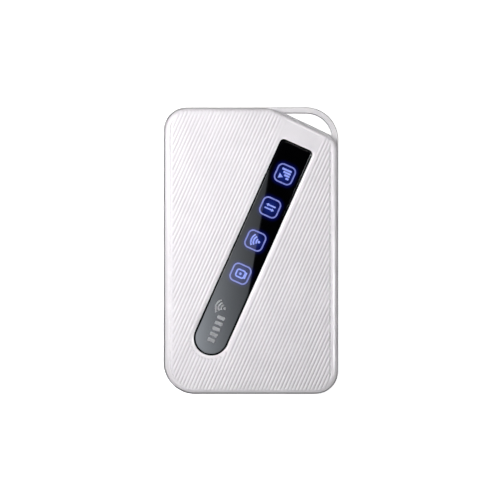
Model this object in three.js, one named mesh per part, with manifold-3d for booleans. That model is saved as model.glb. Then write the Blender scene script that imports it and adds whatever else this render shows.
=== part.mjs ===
// Pocket mobile hotspot lying on its back: a ribbed front cover with a slanting black window,
// a side band whose top right corner is a strap bar, a chassis and a snap-on battery door.
// Millimetres; +Z is up out of the front face, +Y points to the strap end, +X to the buttons.

import * as THREE from "three";
import { mergeVertices } from "three/addons/utils/BufferGeometryUtils.js";
import Module from "manifold-3d";

const wasm = await Module();
wasm.setup();

// ---- Overall size ----
const bodyWidth = 61;
const bodyLength = 100;
const doorBottom = 0;
const doorTop = 3.9;
const bandBottom = 4.0;
const bandTop = 9.0;
const coverBottom = 9.1;
const coverTop = 13.0;

// Corner radii of the band seen from the front. The strap bar goes round the largest one.
const bottomRightRadius = 8.1;
const strapRadius = 11.3;
const topLeftRadius = 8.2;
const bottomLeftRadius = 11.0;
const shoulderRadius = 5.6;
const cutStartRadius = 4.5;

// The covers stop at a slanting cut across the top right corner.
const cutPoint = [13.6, 46.18];
const cutFall = THREE.MathUtils.degToRad(25.6);

// ---- Walls and steps ----
const coverSetBack = 0.4;
const bandWall = 2.0;
const strapBarWidth = 2.1;
const strapWallOutside = 0.8;
const strapWallInside = bandWall - strapWallOutside;
const coverWall = 1.5;
const coverPlate = 1.6;
const coverEdge = 2.1;
const doorWall = 1.2;
const doorEdge = 2.9;
const doorInnerEdge = 1.5;
const bandEdge = 0.45;
const partGap = 0.3;
const lipWidth = 1.2;
const lipBottom = 8.4;
const lipTop = 8.9;

// ---- Window in the front cover, in its own frame: across it and up along it ----
const windowTilt = THREE.MathUtils.degToRad(24.1);
const windowFoot = [-13.85, -30.27];
const windowWidth = 12.35;
const windowRise = 73.5;
const windowCorner = 1.0;
const windowLedge = 1.2;
const ledgeBottom = 10.5;
const lensBottom = 11.85;
const lensTop = 12.8;
const lensGap = 0.15;
const gasketBottom = 11.5;
const gasketTop = 11.75;
const openingChamfer = 0.35;

// ---- Ribs moulded in the front face, parallel to the window ----
const ribPitch = 1.165;
const grooveWidth = 0.7;
const grooveDepth = 0.3;
const ribReach = 49;
const ribMargin = 2.2;

// ---- Lamps behind the window ----
const lampHeights = [24.4, 37.0, 49.6, 62.2];
const lampShift = 0.3;
const guideSide = 6.7;
const guideBottom = 10.0;
const guideTop = 11.7;
const ledLength = 1.6;
const ledWidth = 0.8;
const ledBottom = 9.3;
const ledTop = 9.85;

// ---- Chassis, board and battery ----
const chassisBottom = 1.8;
const chassisPlate = 1.0;
const chassisTop = 8.0;
const chassisWall = 1.2;
const chassisEdge = 0.9;
const chassisInset = bandWall + partGap;
const chassisCutInset = strapWallInside + partGap;
const boardInset = chassisInset + chassisWall;
const boardCutInset = chassisCutInset + chassisWall;
const boardBottom = 8.2;
const boardTop = 9.2;
const bay = { x0: -26.0, x1: 21.8, y0: -41.9, y1: 17.9 };
const bayRoof = 7.0;
const bayWall = 1.1;
const columnRadius = 2.2;
const packGap = 0.4;
const packBottom = 1.6;
const packTop = 6.5;
const simWell = { x0: -26.0, x1: 9.0, y0: 24.8, y1: 39.2 };
const contactWell = { x0: -20.3, x1: -7.7, y0: 17.8, y1: 22.9 };
const contactCentre = -14;
const contactPitch = 2.8;
const contactBottom = 3.9;
const contactTop = 5.5;

// ---- Screws: head in a deep hole in the chassis, thread in a post of the front cover ----
const screwPlaces = [
  [-22.8, 42.4],
  [4.0, 43.2],
  [24.9, 34.6],
  [24.95, -2.0],
  [24.5, -43.4],
  [-17.0, -44.7],
];
const screwSeat = 5.0;
const screwHeadHeight = 0.8;
const screwTip = 10.8;

// ---- Side buttons, reset switch and charging port, all centred at one height ----
const controlHeight = 6.5;
const powerButton = { y: 25, length: 9 };
const pairingButton = { y: 9, length: 5 };
const buttonHeight = 2.2;
const resetX = 10;
const portTop = 8.1;
const portBottom = 5.45;
const portHalfWidth = 3.75;

// ---- Colours ----
const white = 0xf2f2f4;
const bandGrey = 0xc6c7cb;
const graphite = 0x3b3d41;
const black = 0x0b0b0e;
const steel = 0xb9bcc2;
const gold = 0xd4af5a;
const boardGreen = 0x1f5a3a;

// ---- Shapes ----

// A line an outline runs along: a point on it and the direction of travel.
function edgeLine(x, y, dx, dy, inset) {
  return { x: x - dy * inset, y: y + dx * inset, dx, dy };
}

// Where two edge lines cross once both have moved to their left by a distance.
function crossing(a, b, shift) {
  const ax = a.x - a.dy * shift;
  const ay = a.y + a.dx * shift;
  const bx = b.x - b.dy * shift;
  const by = b.y + b.dx * shift;
  const t = ((bx - ax) * b.dy - (by - ay) * b.dx) / (a.dx * b.dy - a.dy * b.dx);
  return [ax + a.dx * t, ay + a.dy * t];
}

// A convex outline with a round at each corner, anticlockwise along its edge lines.
function filleted(lines, radii) {
  const shape = new THREE.Shape();
  lines.forEach((line, i) => {
    const next = lines[(i + 1) % lines.length];
    const radius = radii[i];
    const [cx, cy] = crossing(line, next, radius);
    const from = Math.atan2(-line.dx, line.dy);
    const to = Math.atan2(-next.dx, next.dy);
    shape.absarc(cx, cy, radius, from, to, false);
  });
  shape.closePath();
  return shape;
}

const cutX = Math.cos(cutFall);
const cutY = Math.sin(cutFall);

function shrink(radius, inset) {
  return Math.max(radius - inset, 0.5);
}

// The whole outline with the strap corner.
function bandOutline(inset) {
  const lines = [
    edgeLine(0, -bodyLength / 2, 1, 0, inset),
    edgeLine(bodyWidth / 2, 0, 0, 1, inset),
    edgeLine(0, bodyLength / 2, -1, 0, inset),
    edgeLine(-bodyWidth / 2, 0, 0, -1, inset),
  ];
  const radii = [bottomRightRadius, strapRadius, topLeftRadius, bottomLeftRadius];
  return filleted(lines, radii.map((radius) => shrink(radius, inset)));
}

// The outline with the strap corner cut off, set in from the band and from the cut.
function bodyOutline(inset, cutInset) {
  const lines = [
    edgeLine(0, -bodyLength / 2, 1, 0, inset),
    edgeLine(bodyWidth / 2, 0, 0, 1, inset),
    edgeLine(cutPoint[0], cutPoint[1], -cutX, cutY, cutInset),
    edgeLine(0, bodyLength / 2, -1, 0, inset),
    edgeLine(-bodyWidth / 2, 0, 0, -1, inset),
  ];
  const radii = [bottomRightRadius, shoulderRadius, cutStartRadius, topLeftRadius, bottomLeftRadius];
  return filleted(lines, radii.map((radius) => shrink(radius, inset)));
}

// Everything beyond the thin wall that runs along the cut, as a rectangle on the strap's side.
function beyondCut(reach) {
  const { x, y, dx, dy } = edgeLine(cutPoint[0], cutPoint[1], cutX, -cutY, strapWallOutside);
  return polygon([
    [x - dx * reach, y - dy * reach],
    [x + dx * reach, y + dy * reach],
    [x + (dx - dy) * reach, y + (dy + dx) * reach],
    [x - (dx + dy) * reach, y - (dy - dx) * reach],
  ]);
}

// The window's outline in its own frame: round at its foot, square at its top end.
function windowOutline(inset) {
  const half = windowWidth / 2 - inset;
  const top = windowRise - inset;
  const corner = shrink(windowCorner, inset);
  const shape = new THREE.Shape();
  shape.absarc(0, 0, half, Math.PI, 2 * Math.PI, false);
  shape.absarc(half - corner, top - corner, corner, 0, Math.PI / 2, false);
  shape.absarc(corner - half, top - corner, corner, Math.PI / 2, Math.PI, false);
  shape.closePath();
  return shape;
}

function roundRect(width, length, radius) {
  const x = width / 2 - radius;
  const y = length / 2 - radius;
  const shape = new THREE.Shape();
  shape.absarc(x, -y, radius, -Math.PI / 2, 0, false);
  shape.absarc(x, y, radius, 0, Math.PI / 2, false);
  shape.absarc(-x, y, radius, Math.PI / 2, Math.PI, false);
  shape.absarc(-x, -y, radius, Math.PI, 1.5 * Math.PI, false);
  shape.closePath();
  return shape;
}

function polygon(points) {
  return new THREE.Shape(points.map(([x, y]) => new THREE.Vector2(x, y)));
}

// ---- Solids ----

// A manifold solid from a closed three.js geometry.
function solid(geometry) {
  const bare = geometry.clone();
  bare.deleteAttribute("normal");
  bare.deleteAttribute("uv");
  const merged = mergeVertices(bare, 1e-4);
  const mesh = new wasm.Mesh({
    numProp: 3,
    vertProperties: new Float32Array(merged.attributes.position.array),
    triVerts: new Uint32Array(merged.index.array),
  });
  return new wasm.Manifold(mesh);
}

function prism(shape, bottom, top, segments = 4) {
  const options = { depth: top - bottom, bevelEnabled: false, curveSegments: segments };
  return new THREE.ExtrudeGeometry(shape, options).translate(0, 0, bottom);
}

// A prism with a quarter-round of the given size round one end: its top, or its foot.
function roundedPrism(shape, bottom, top, edge, steps, end) {
  const options = {
    depth: top - bottom,
    bevelEnabled: true,
    bevelSize: edge,
    bevelThickness: edge,
    bevelOffset: -edge,
    bevelSegments: steps,
    curveSegments: 4,
  };
  const shift = end === "top" ? bottom - edge : bottom + edge;
  const geometry = new THREE.ExtrudeGeometry(shape, options).translate(0, 0, shift);
  const from = end === "top" ? bottom - 3 * edge : top;
  const to = end === "top" ? bottom : top + 3 * edge;
  return solid(geometry).subtract(box(-bodyWidth, bodyWidth, -bodyLength, bodyLength, from, to));
}

function box(x0, x1, y0, y1, z0, z1) {
  const geometry = new THREE.BoxGeometry(x1 - x0, y1 - y0, z1 - z0);
  return solid(geometry.translate((x0 + x1) / 2, (y0 + y1) / 2, (z0 + z1) / 2));
}

function post(x, y, radius, bottom, top, sides = 20) {
  const geometry = new THREE.CylinderGeometry(radius, radius, top - bottom, sides);
  return solid(geometry.rotateX(Math.PI / 2).translate(x, y, (bottom + top) / 2));
}

// A round bar lying along Y.
function barAlongY(x, z, radius, y0, y1, sides = 16) {
  const geometry = new THREE.CylinderGeometry(radius, radius, y1 - y0, sides);
  return solid(geometry.translate(x, (y0 + y1) / 2, z));
}

// From the window's own frame to the part's.
function alongWindow(placed) {
  const tilt = THREE.MathUtils.radToDeg(windowTilt);
  return placed.rotate([0, 0, -tilt]).translate([windowFoot[0], windowFoot[1], 0]);
}

function windowPrism(inset, bottom, top) {
  return alongWindow(solid(prism(windowOutline(inset), bottom, top, 6)));
}

// A shape drawn across X and up Z, standing along Y between two faces.
function alongY(shape, y0, y1) {
  return solid(prism(shape, 0, y1 - y0).rotateX(Math.PI / 2).translate(0, y1, 0));
}

// A shape drawn up Z and along Y, standing along X between two faces.
function alongX(shape, x0, x1) {
  return solid(prism(shape, 0, x1 - x0).rotateY(Math.PI / 2).translate(x0, 0, 0));
}

const part = new THREE.Group();
part.name = "mobile_hotspot";

function add(name, shapeSolid, color, roughness, metalness) {
  const data = shapeSolid.getMesh();
  const geometry = new THREE.BufferGeometry();
  geometry.setAttribute("position", new THREE.BufferAttribute(data.vertProperties, 3));
  geometry.setIndex(new THREE.BufferAttribute(data.triVerts, 1));
  geometry.computeVertexNormals();
  const material = new THREE.MeshStandardMaterial({ color, roughness, metalness });
  material.name = name;
  const mesh = new THREE.Mesh(geometry, material);
  mesh.name = name;
  part.add(mesh);
}

// ---- Front cover: a shallow shell with ribs, a window opening and screw posts ----

// Every groove between two ribs, as one comb lying over the face.
function ribComb() {
  const top = coverTop + 1;
  const base = coverTop + 0.1;
  const slope = grooveWidth / 2 / grooveDepth;
  const halfAtBase = slope * (grooveDepth + 0.1);
  const count = Math.floor(ribReach / ribPitch);
  const points = [[-ribReach - ribPitch, top], [-ribReach - ribPitch, base]];
  for (let k = -count; k <= count; k += 1) {
    const centre = k * ribPitch;
    points.push([centre - halfAtBase, base]);
    points.push([centre, coverTop - grooveDepth]);
    points.push([centre + halfAtBase, base]);
  }
  points.push([ribReach + ribPitch, base], [ribReach + ribPitch, top]);
  const length = 140;
  const lying = prism(polygon(points), 0, length).rotateX(Math.PI / 2).translate(0, 105, 0);
  return alongWindow(solid(lying));
}

// The part of the face left smooth: round the window, a channel on its right, and the wide
// panel between the window's top end and the cut.
function smoothFace() {
  const half = windowWidth / 2;
  const panel = polygon([
    [0, 0],
    [half + 0.4, 0],
    [half + 0.9, 9],
    [half + 1.8, 40],
    [half + 1.9, 95],
    [-half - 4.8, 95],
    [-half - 2.3, 80.2],
    [-half, 65],
  ]);
  const bottom = coverTop - 1;
  const channel = alongWindow(solid(prism(panel, bottom, coverTop + 2)));
  return channel.add(windowPrism(-0.55, bottom, coverTop + 2));
}

function frontCover() {
  const roof = coverTop - coverPlate;
  const outer = roundedPrism(bodyOutline(coverSetBack, 0), coverBottom, coverTop, coverEdge, 5, "top");
  const inside = bodyOutline(coverSetBack + coverWall, coverWall);
  const hollow = roundedPrism(inside, coverBottom - 1, roof, coverWall, 3, "top");
  const ledge = windowPrism(-windowLedge, ledgeBottom, roof + 0.2);
  const chamfer = {
    depth: 1,
    bevelEnabled: true,
    bevelSize: openingChamfer,
    bevelThickness: openingChamfer,
    bevelSegments: 1,
    curveSegments: 6,
  };
  const flare = new THREE.ExtrudeGeometry(windowOutline(0), chamfer).translate(0, 0, coverTop);
  let shell = outer.subtract(hollow).add(ledge);
  for (const [x, y] of screwPlaces) {
    shell = shell.add(post(x, y, 1.8, boardTop + 0.1, roof + 0.2));
    shell = shell.subtract(post(x, y, 0.95, boardTop, screwTip + 0.2, 12));
  }
  shell = shell.subtract(windowPrism(0, roof, coverTop + 1));
  shell = shell.subtract(windowPrism(windowLedge, ledgeBottom - 1, roof + 0.5));
  shell = shell.subtract(alongWindow(solid(flare)));
  const ribbed = solid(prism(bodyOutline(ribMargin, ribMargin), coverTop - 1, coverTop + 0.5));
  return shell.subtract(ribComb().intersect(ribbed.subtract(smoothFace())));
}
add("front_cover", frontCover(), white, 0.42, 0);

// ---- Window, its gasket, and the lamps that show through it ----

const lens = roundedPrism(windowOutline(lensGap), lensBottom, lensTop, 0.15, 1, "top");
add("display_window", alongWindow(lens), black, 0.06, 0);

const gasketRing = windowPrism(0.25, gasketBottom, gasketTop);
const gasketHole = windowPrism(1.05, gasketBottom - 1, gasketTop + 1);
add("window_gasket", gasketRing.subtract(gasketHole), 0x1a1a1c, 0.8, 0);

// A block with rounded corners centred on the window's axis line at a height along it.
function windowBlock(shape, height, bottom, top) {
  return alongWindow(solid(prism(shape, bottom, top, 3).translate(lampShift, height, 0)));
}

function lightBaffle() {
  let plate = windowPrism(windowLedge + partGap, guideBottom - 0.05, guideTop);
  const opening = roundRect(guideSide + 0.4, guideSide + 0.4, 1.8);
  for (const height of lampHeights) {
    plate = plate.subtract(windowBlock(opening, height, guideBottom - 1, guideTop + 1));
  }
  return plate;
}
add("light_baffle", lightBaffle(), 0x2a2a2d, 0.7, 0);

lampHeights.forEach((height, i) => {
  const guide = roundRect(guideSide, guideSide, 1.6);
  const led = roundRect(ledLength, ledWidth, 0.1);
  const number = i + 1;
  add(`icon_light_guide_${number}`, windowBlock(guide, height, guideBottom, guideTop), 0xb9c6f2, 0.35, 0);
  add(`icon_led_${number}`, windowBlock(led, height, ledBottom, ledTop), 0xe8eaf6, 0.4, 0);
});

// ---- Side band: a ring round the body, drawn out into a strap bar at one corner ----

function controlSlot(button) {
  const length = button.length + 0.4;
  const slot = roundRect(buttonHeight + 0.4, length, (buttonHeight + 0.4) / 2 - 0.01);
  const from = bodyWidth / 2 - bandWall - 0.5;
  return alongX(slot, from, bodyWidth / 2 + 0.5).translate([0, button.y, controlHeight]);
}

// The charging port's outline: flat above, its lower corners cut away.
function portOutline(grow) {
  const half = portHalfWidth + grow;
  const low = portBottom - grow;
  const high = portTop + grow;
  return polygon([
    [-half, high],
    [-half, low + 1.3],
    [-half + 1.1, low],
    [half - 1.1, low],
    [half, low + 1.3],
    [half, high],
  ]);
}

const portFace = -bodyLength / 2;
const portCut = alongY(portOutline(partGap), portFace - 1, portFace + 3.7);
const pinHole = barAlongY(resetX, controlHeight, 0.6, portFace - 1, portFace + 3.8);

function midFrame() {
  const middle = (bandBottom + bandTop) / 2;
  const upper = roundedPrism(bandOutline(0), middle, bandTop, bandEdge, 2, "top");
  const lower = roundedPrism(bandOutline(0), bandBottom, middle, bandEdge, 2, "foot");
  const room = solid(prism(bodyOutline(bandWall, strapWallInside), bandBottom - 1, bandTop + 1));
  const lipInset = bandWall + lipWidth;
  const lipCutInset = strapWallInside + lipWidth;
  const lipOuter = solid(prism(bodyOutline(bandWall - 0.2, strapWallInside - 0.2), lipBottom, lipTop));
  const lipInner = solid(prism(bodyOutline(lipInset, lipCutInset), lipBottom - 1, lipTop + 1));
  const insideStrap = solid(prism(bandOutline(strapBarWidth), bandBottom - 1, bandTop + 1));
  const strapHole = insideStrap.intersect(solid(prism(beyondCut(40), bandBottom - 2, bandTop + 2)));
  return upper
    .add(lower)
    .subtract(room)
    .add(lipOuter.subtract(lipInner))
    .subtract(strapHole)
    .subtract(controlSlot(powerButton))
    .subtract(controlSlot(pairingButton))
    .subtract(portCut)
    .subtract(pinHole);
}
add("mid_frame", midFrame(), bandGrey, 0.35, 0);

// ---- Rear chassis: a tray with the battery bay, the card well and the screw columns ----

function wellWalls(well, wall) {
  const { x0, x1, y0, y1 } = well;
  return box(x0 - wall, x1 + wall, y0 - wall, y1 + wall, chassisBottom + 0.5, chassisTop);
}

function wellRoom(well, top) {
  return box(well.x0, well.x1, well.y0, well.y1, chassisBottom - 1, top);
}

function buttonRoom(button) {
  const half = button.length / 2 + 1.4;
  const x1 = bodyWidth / 2 - chassisInset + 0.2;
  return box(x1 - chassisWall - 0.4, x1, button.y - half, button.y + half, 4.5, chassisTop + 0.2);
}

function rearChassis() {
  const outline = bodyOutline(chassisInset, chassisCutInset);
  const inner = bodyOutline(boardInset, boardCutInset);
  const outer = roundedPrism(outline, chassisBottom, chassisTop, chassisEdge, 2, "foot");
  let hollow = solid(prism(inner, chassisBottom + chassisPlate, chassisTop + 1));
  hollow = hollow.subtract(wellWalls(bay, bayWall));
  hollow = hollow.subtract(wellWalls(simWell, bayWall));
  hollow = hollow.subtract(wellWalls(contactWell, bayWall));
  for (const [x, y] of screwPlaces) {
    hollow = hollow.subtract(post(x, y, columnRadius, chassisBottom, chassisTop));
  }
  let tray = outer.subtract(hollow);
  tray = tray.subtract(wellRoom(bay, bayRoof));
  tray = tray.subtract(wellRoom(simWell, chassisTop + 1));
  tray = tray.subtract(wellRoom(contactWell, chassisTop + 1));
  for (const [x, y] of screwPlaces) {
    tray = tray.subtract(post(x, y, 1.6, chassisBottom - 1, screwSeat));
    tray = tray.subtract(post(x, y, 0.95, screwSeat - 0.5, chassisTop + 1, 12));
  }
  tray = tray.subtract(buttonRoom(powerButton));
  tray = tray.subtract(buttonRoom(pairingButton));
  const portRoom = box(-portHalfWidth - 0.4, portHalfWidth + 0.4, portFace, portFace + 3.7, 5.0, 8.5);
  return tray.subtract(portRoom).subtract(pinHole);
}
add("rear_chassis", rearChassis(), graphite, 0.6, 0);

const labelPlate = roundRect(34, 42, 1.5);
add("bay_label", solid(prism(labelPlate, 6.72, 6.87).translate(-3, -13, 0)), 0xe9e9e6, 0.6, 0);

screwPlaces.forEach(([x, y], i) => {
  const headTop = screwSeat - 0.1;
  const head = post(x, y, 1.3, headTop - screwHeadHeight, headTop, 16);
  const shank = post(x, y, 0.75, headTop - 0.2, screwTip, 12);
  const recess = box(x - 0.7, x + 0.7, y - 0.14, y + 0.14, 3, headTop - 0.45);
  const cross = box(x - 0.14, x + 0.14, y - 0.7, y + 0.7, 3, headTop - 0.45);
  add(`chassis_screw_${i + 1}`, head.add(shank).subtract(recess).subtract(cross), steel, 0.35, 1);
});

// ---- Main board and what is soldered to it ----

function mainBoard() {
  let board = solid(prism(bodyOutline(boardInset, boardCutInset), boardBottom, boardTop));
  for (const [x, y] of screwPlaces) {
    board = board.subtract(post(x, y, 1.3, boardBottom - 1, boardTop + 1, 16));
  }
  return board;
}
add("main_board", mainBoard(), boardGreen, 0.45, 0);

// A folded sheet-metal lid, open towards the board.
function shieldCan(x0, x1, y0, y1) {
  const bottom = boardTop + 0.1;
  const top = 10.8;
  const sheet = 0.3;
  const room = box(x0 + sheet, x1 - sheet, y0 + sheet, y1 - sheet, bottom - 1, top - sheet);
  return box(x0, x1, y0, y1, bottom, top).subtract(room);
}
add("modem_shield_can", shieldCan(-26, -9.5, 2, 30), steel, 0.35, 1);
add("wifi_shield_can", shieldCan(6.5, 25.5, -36, -8), steel, 0.35, 1);
add("modem_chip", box(-23.5, -11.5, 10, 22, boardTop + 0.1, 10.3), 0x202226, 0.5, 0);
add("wifi_chip", box(12, 20, -26, -18, boardTop + 0.1, 10.2), 0x202226, 0.5, 0);

// A stamped aerial: a comb of fingers joined along one side.
function aerial(x0, y0, length, depth, fingers) {
  let plate = box(x0, x0 + length, y0, y0 + depth, boardTop + 0.1, 9.8);
  const pitch = length / fingers;
  for (let i = 1; i < fingers; i += 1) {
    const x = x0 + i * pitch;
    plate = plate.subtract(box(x - 0.5, x + 0.5, y0 + 1.4, y0 + depth + 1, 9, 10));
  }
  return plate;
}
add("main_antenna", aerial(-20, 40.5, 21, 4.6, 5), gold, 0.35, 1);
add("diversity_antenna", aerial(-13.5, -46, 24, 4.8, 6), gold, 0.35, 1);
add("wifi_antenna", aerial(13, -46, 8, 4.8, 3), gold, 0.35, 1);

function portShell() {
  const tube = alongY(portOutline(0), portFace + 0.4, portFace + 5.6);
  return tube.subtract(alongY(portOutline(-0.3), portFace, portFace + 5.2));
}
add("usb_port_shell", portShell(), steel, 0.3, 1);
add("usb_port_tongue", box(-1.75, 1.75, portFace + 0.9, portFace + 5.0, 6.9, 7.5), black, 0.5, 0);

// ---- Card holder and card: the card slides out towards the middle of its well ----

function simSocket() {
  const shell = box(-25.0, -11.5, 25.2, 38.8, 6.4, 8.1);
  const slot = box(-24.6, -11, 25.8, 38.2, 6.7, 7.7);
  return shell.subtract(slot).subtract(box(-22, -14, 28.5, 35.5, 6, 7));
}
add("sim_socket", simSocket(), steel, 0.3, 1);

const cardOutline = polygon([
  [-24.2, 26.0],
  [-9.2, 26.0],
  [-9.2, 38.0],
  [-21.7, 38.0],
  [-24.2, 35.5],
]);
add("sim_card", solid(prism(cardOutline, 6.82, 7.58)), 0xf4f4f0, 0.5, 0);

// ---- Battery contacts: four sprung blades in a moulded block, and the pads they press ----

function contactX(i) {
  return contactCentre + (i - 1.5) * contactPitch;
}

function contactBlock() {
  let block = box(-20, -8, 18.3, 22.3, 3.0, 8.1);
  for (let i = 0; i < 4; i += 1) {
    const x = contactX(i);
    block = block.subtract(box(x - 0.75, x + 0.75, 18, 21.3, contactBottom - 0.2, contactTop + 0.2));
  }
  return block;
}
add("battery_contact_block", contactBlock(), 0x18181a, 0.55, 0);

for (let i = 0; i < 4; i += 1) {
  const x = contactX(i);
  const middle = (contactBottom + contactTop) / 2;
  const shank = box(x - 0.55, x + 0.55, 18.4, 20.8, contactBottom, contactTop);
  const nose = new THREE.CylinderGeometry(0.65, 0.65, 1.1, 16).rotateZ(Math.PI / 2);
  const blade = shank.add(solid(nose.translate(x, 18.45, middle)));
  add(`contact_blade_${i + 1}`, blade, gold, 0.3, 1);
}

function batteryPack() {
  const length = bay.y1 - bay.y0 - 2 * packGap;
  const across = bay.x1 - bay.x0 - 2 * packGap;
  const middleX = (bay.x0 + bay.x1) / 2;
  const middleY = (bay.y0 + bay.y1) / 2;
  const middle = (packBottom + packTop) / 2;
  const shape = roundRect(across, length, 1.4);
  let pack = roundedPrism(shape, middle, packTop, 0.7, 2, "top");
  pack = pack.add(roundedPrism(shape, packBottom, middle, 0.7, 2, "foot"));
  pack = pack.translate([middleX, middleY, 0]);
  for (let i = 0; i < 4; i += 1) {
    const x = contactX(i);
    pack = pack.subtract(box(x - 0.9, x + 0.9, 17.0, 18, contactBottom - 0.2, contactTop + 0.2));
  }
  return pack;
}
add("battery_pack", batteryPack(), 0x2b2d31, 0.5, 0);

for (let i = 0; i < 4; i += 1) {
  const x = contactX(i);
  add(`battery_pad_${i + 1}`, box(x - 0.7, x + 0.7, 17.1, 17.4, contactBottom, contactTop), gold, 0.25, 1);
}

// ---- Side buttons with a flange behind the band, and the switches they press ----

function sideButton(button) {
  const round = buttonHeight / 2 - 0.01;
  const face = bodyWidth / 2 - 0.1;
  const cap = alongX(roundRect(buttonHeight, button.length, round), 28.2, face - 0.25);
  const crown = alongX(roundRect(buttonHeight - 0.5, button.length - 0.5, round - 0.25), 28.2, face);
  const flange = box(27.6, 28.3, -button.length / 2 - 1, button.length / 2 + 1, -1.6, 1.6);
  const stem = box(26.9, 27.8, -1, 1, -0.8, 0.8);
  return cap.add(crown).add(flange).add(stem).translate([0, button.y, controlHeight]);
}

function sideSwitch(button) {
  const body = box(23.4, 26.2, -2.3, 2.3, 5.0 - controlHeight, 8.1 - controlHeight);
  const bore = box(24.9, 27, -1.05, 1.05, -0.65, 0.65);
  return body.subtract(bore).translate([0, button.y, controlHeight]);
}

function sidePlunger(button) {
  return box(25.3, 26.75, -0.9, 0.9, -0.5, 0.5).translate([0, button.y, controlHeight]);
}

add("power_button", sideButton(powerButton), white, 0.4, 0);
add("power_switch_body", sideSwitch(powerButton), steel, 0.35, 1);
add("power_switch_plunger", sidePlunger(powerButton), black, 0.5, 0);
add("pairing_button", sideButton(pairingButton), white, 0.4, 0);
add("pairing_switch_body", sideSwitch(pairingButton), steel, 0.35, 1);
add("pairing_switch_plunger", sidePlunger(pairingButton), black, 0.5, 0);

const resetBody = box(resetX - 1.6, resetX + 1.6, -45.7, -43.2, 5.2, 8.1);
const resetBore = barAlongY(resetX, controlHeight, 0.95, -46.5, -44.3);
add("reset_switch_body", resetBody.subtract(resetBore), steel, 0.35, 1);
add("reset_switch_plunger", barAlongY(resetX, controlHeight, 0.75, -46.3, -44.7), black, 0.5, 0);

// ---- Battery door: a shallow tray with a rounded back edge and a nail notch in its rim ----

function batteryDoor() {
  const outline = bodyOutline(coverSetBack, 0);
  const inside = bodyOutline(coverSetBack + doorWall, doorWall);
  let tray = roundedPrism(outline, doorBottom, doorTop, doorEdge, 5, "foot");
  tray = tray.subtract(roundedPrism(inside, doorBottom + doorWall, doorTop + 1, doorInnerEdge, 3, "foot"));
  const rimX = bodyWidth / 2 - coverSetBack - doorWall;
  for (const y of [-28, -8, 16]) {
    tray = tray.add(box(rimX - 0.35, rimX + 0.2, y - 3, y + 3, 2.6, doorTop - 0.1));
    tray = tray.add(box(-rimX - 0.2, -rimX + 0.35, y - 3, y + 3, 2.6, doorTop - 0.1));
  }
  const notch = new THREE.CylinderGeometry(3.2, 3.2, 1.6, 24).rotateZ(Math.PI / 2);
  notch.translate(bodyWidth / 2 - coverSetBack, -34, doorTop + 2.3);
  return tray.subtract(solid(notch));
}
add("battery_door", batteryDoor(), white, 0.45, 0);

export default part;
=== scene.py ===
# %% [markdown]
# # A pocket mobile hotspot
# The device lies on its back: a white front cover with fine slanting ribs and a long black window,
# a silver side band drawn out into a strap bar, and a battery door under it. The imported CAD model
# gives every place and size, so it is loaded first and everything else is built round it.

import bmesh
import bpy
import numpy as np
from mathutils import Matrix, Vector
from mathutils.geometry import tessellate_polygon


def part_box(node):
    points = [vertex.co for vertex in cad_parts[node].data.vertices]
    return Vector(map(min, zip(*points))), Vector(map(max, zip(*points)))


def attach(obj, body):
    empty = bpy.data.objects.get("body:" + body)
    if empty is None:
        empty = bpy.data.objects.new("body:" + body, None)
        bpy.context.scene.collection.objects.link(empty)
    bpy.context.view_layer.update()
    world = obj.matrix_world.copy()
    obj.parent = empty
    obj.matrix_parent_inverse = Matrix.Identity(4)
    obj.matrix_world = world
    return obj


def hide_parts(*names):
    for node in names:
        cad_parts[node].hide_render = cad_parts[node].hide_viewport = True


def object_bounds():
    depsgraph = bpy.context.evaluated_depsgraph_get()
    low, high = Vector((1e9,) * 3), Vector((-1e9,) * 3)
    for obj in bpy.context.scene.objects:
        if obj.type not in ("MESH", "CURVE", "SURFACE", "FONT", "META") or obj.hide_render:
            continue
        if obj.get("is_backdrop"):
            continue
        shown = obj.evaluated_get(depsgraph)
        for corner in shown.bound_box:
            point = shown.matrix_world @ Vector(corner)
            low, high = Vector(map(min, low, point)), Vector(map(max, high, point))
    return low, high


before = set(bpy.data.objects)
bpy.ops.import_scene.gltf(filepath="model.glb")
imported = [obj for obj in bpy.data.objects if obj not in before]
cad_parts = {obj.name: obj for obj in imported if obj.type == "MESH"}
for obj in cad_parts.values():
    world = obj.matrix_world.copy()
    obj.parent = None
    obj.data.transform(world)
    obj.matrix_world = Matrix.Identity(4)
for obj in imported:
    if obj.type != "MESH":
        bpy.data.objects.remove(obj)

cad_box = [list(corner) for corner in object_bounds()]
MM = 0.001
low, high = np.array(cad_box) / MM
half_width, half_length = high[0], high[1]


def cad(node):
    """The low and the high corner of a CAD piece, in millimetres."""
    return np.array(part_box(node)) / MM


print("body", np.round(high - low, 2), "mm;", len(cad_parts), "CAD pieces")

# %% [markdown]
# ## Camera
# A product shot from straight above, with a long lens so that both sides stay upright. A long lens
# far away and a short one close by frame the same width, but only the long one hides the side walls.

# %% Camera
LENS, SENSOR = 200.0, 36.0
FRAME_WIDTH = 174.0
AIM = np.array([-0.31, 0.21])
camera_rise = FRAME_WIDTH / (SENSOR / LENS)
camera_data = bpy.data.cameras.new("camera")
camera_data.lens, camera_data.sensor_width = LENS, SENSOR
camera_data.clip_start, camera_data.clip_end = 0.01, 20.0
camera = bpy.data.objects.new("camera", camera_data)
camera.location = (AIM[0] * MM, AIM[1] * MM, (camera_rise + 10.0) * MM)
bpy.context.scene.collection.objects.link(camera)
bpy.context.scene.camera = camera
bpy.context.scene.view_settings.view_transform = "Standard"
print("camera", round(camera_rise, 1), "mm above the band")

# %% [markdown]
# ## Outlines
# The band and both covers follow one rounded rectangle, with a cut across the strap corner. A
# bevelled cube would give equal corners only, so the outline is worked out from its straight edges:
# each corner is an arc between two edges, always with the same number of points. Two outlines of
# different inset then match point for point, and a wall is just rows of outlines joined by quads.

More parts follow.
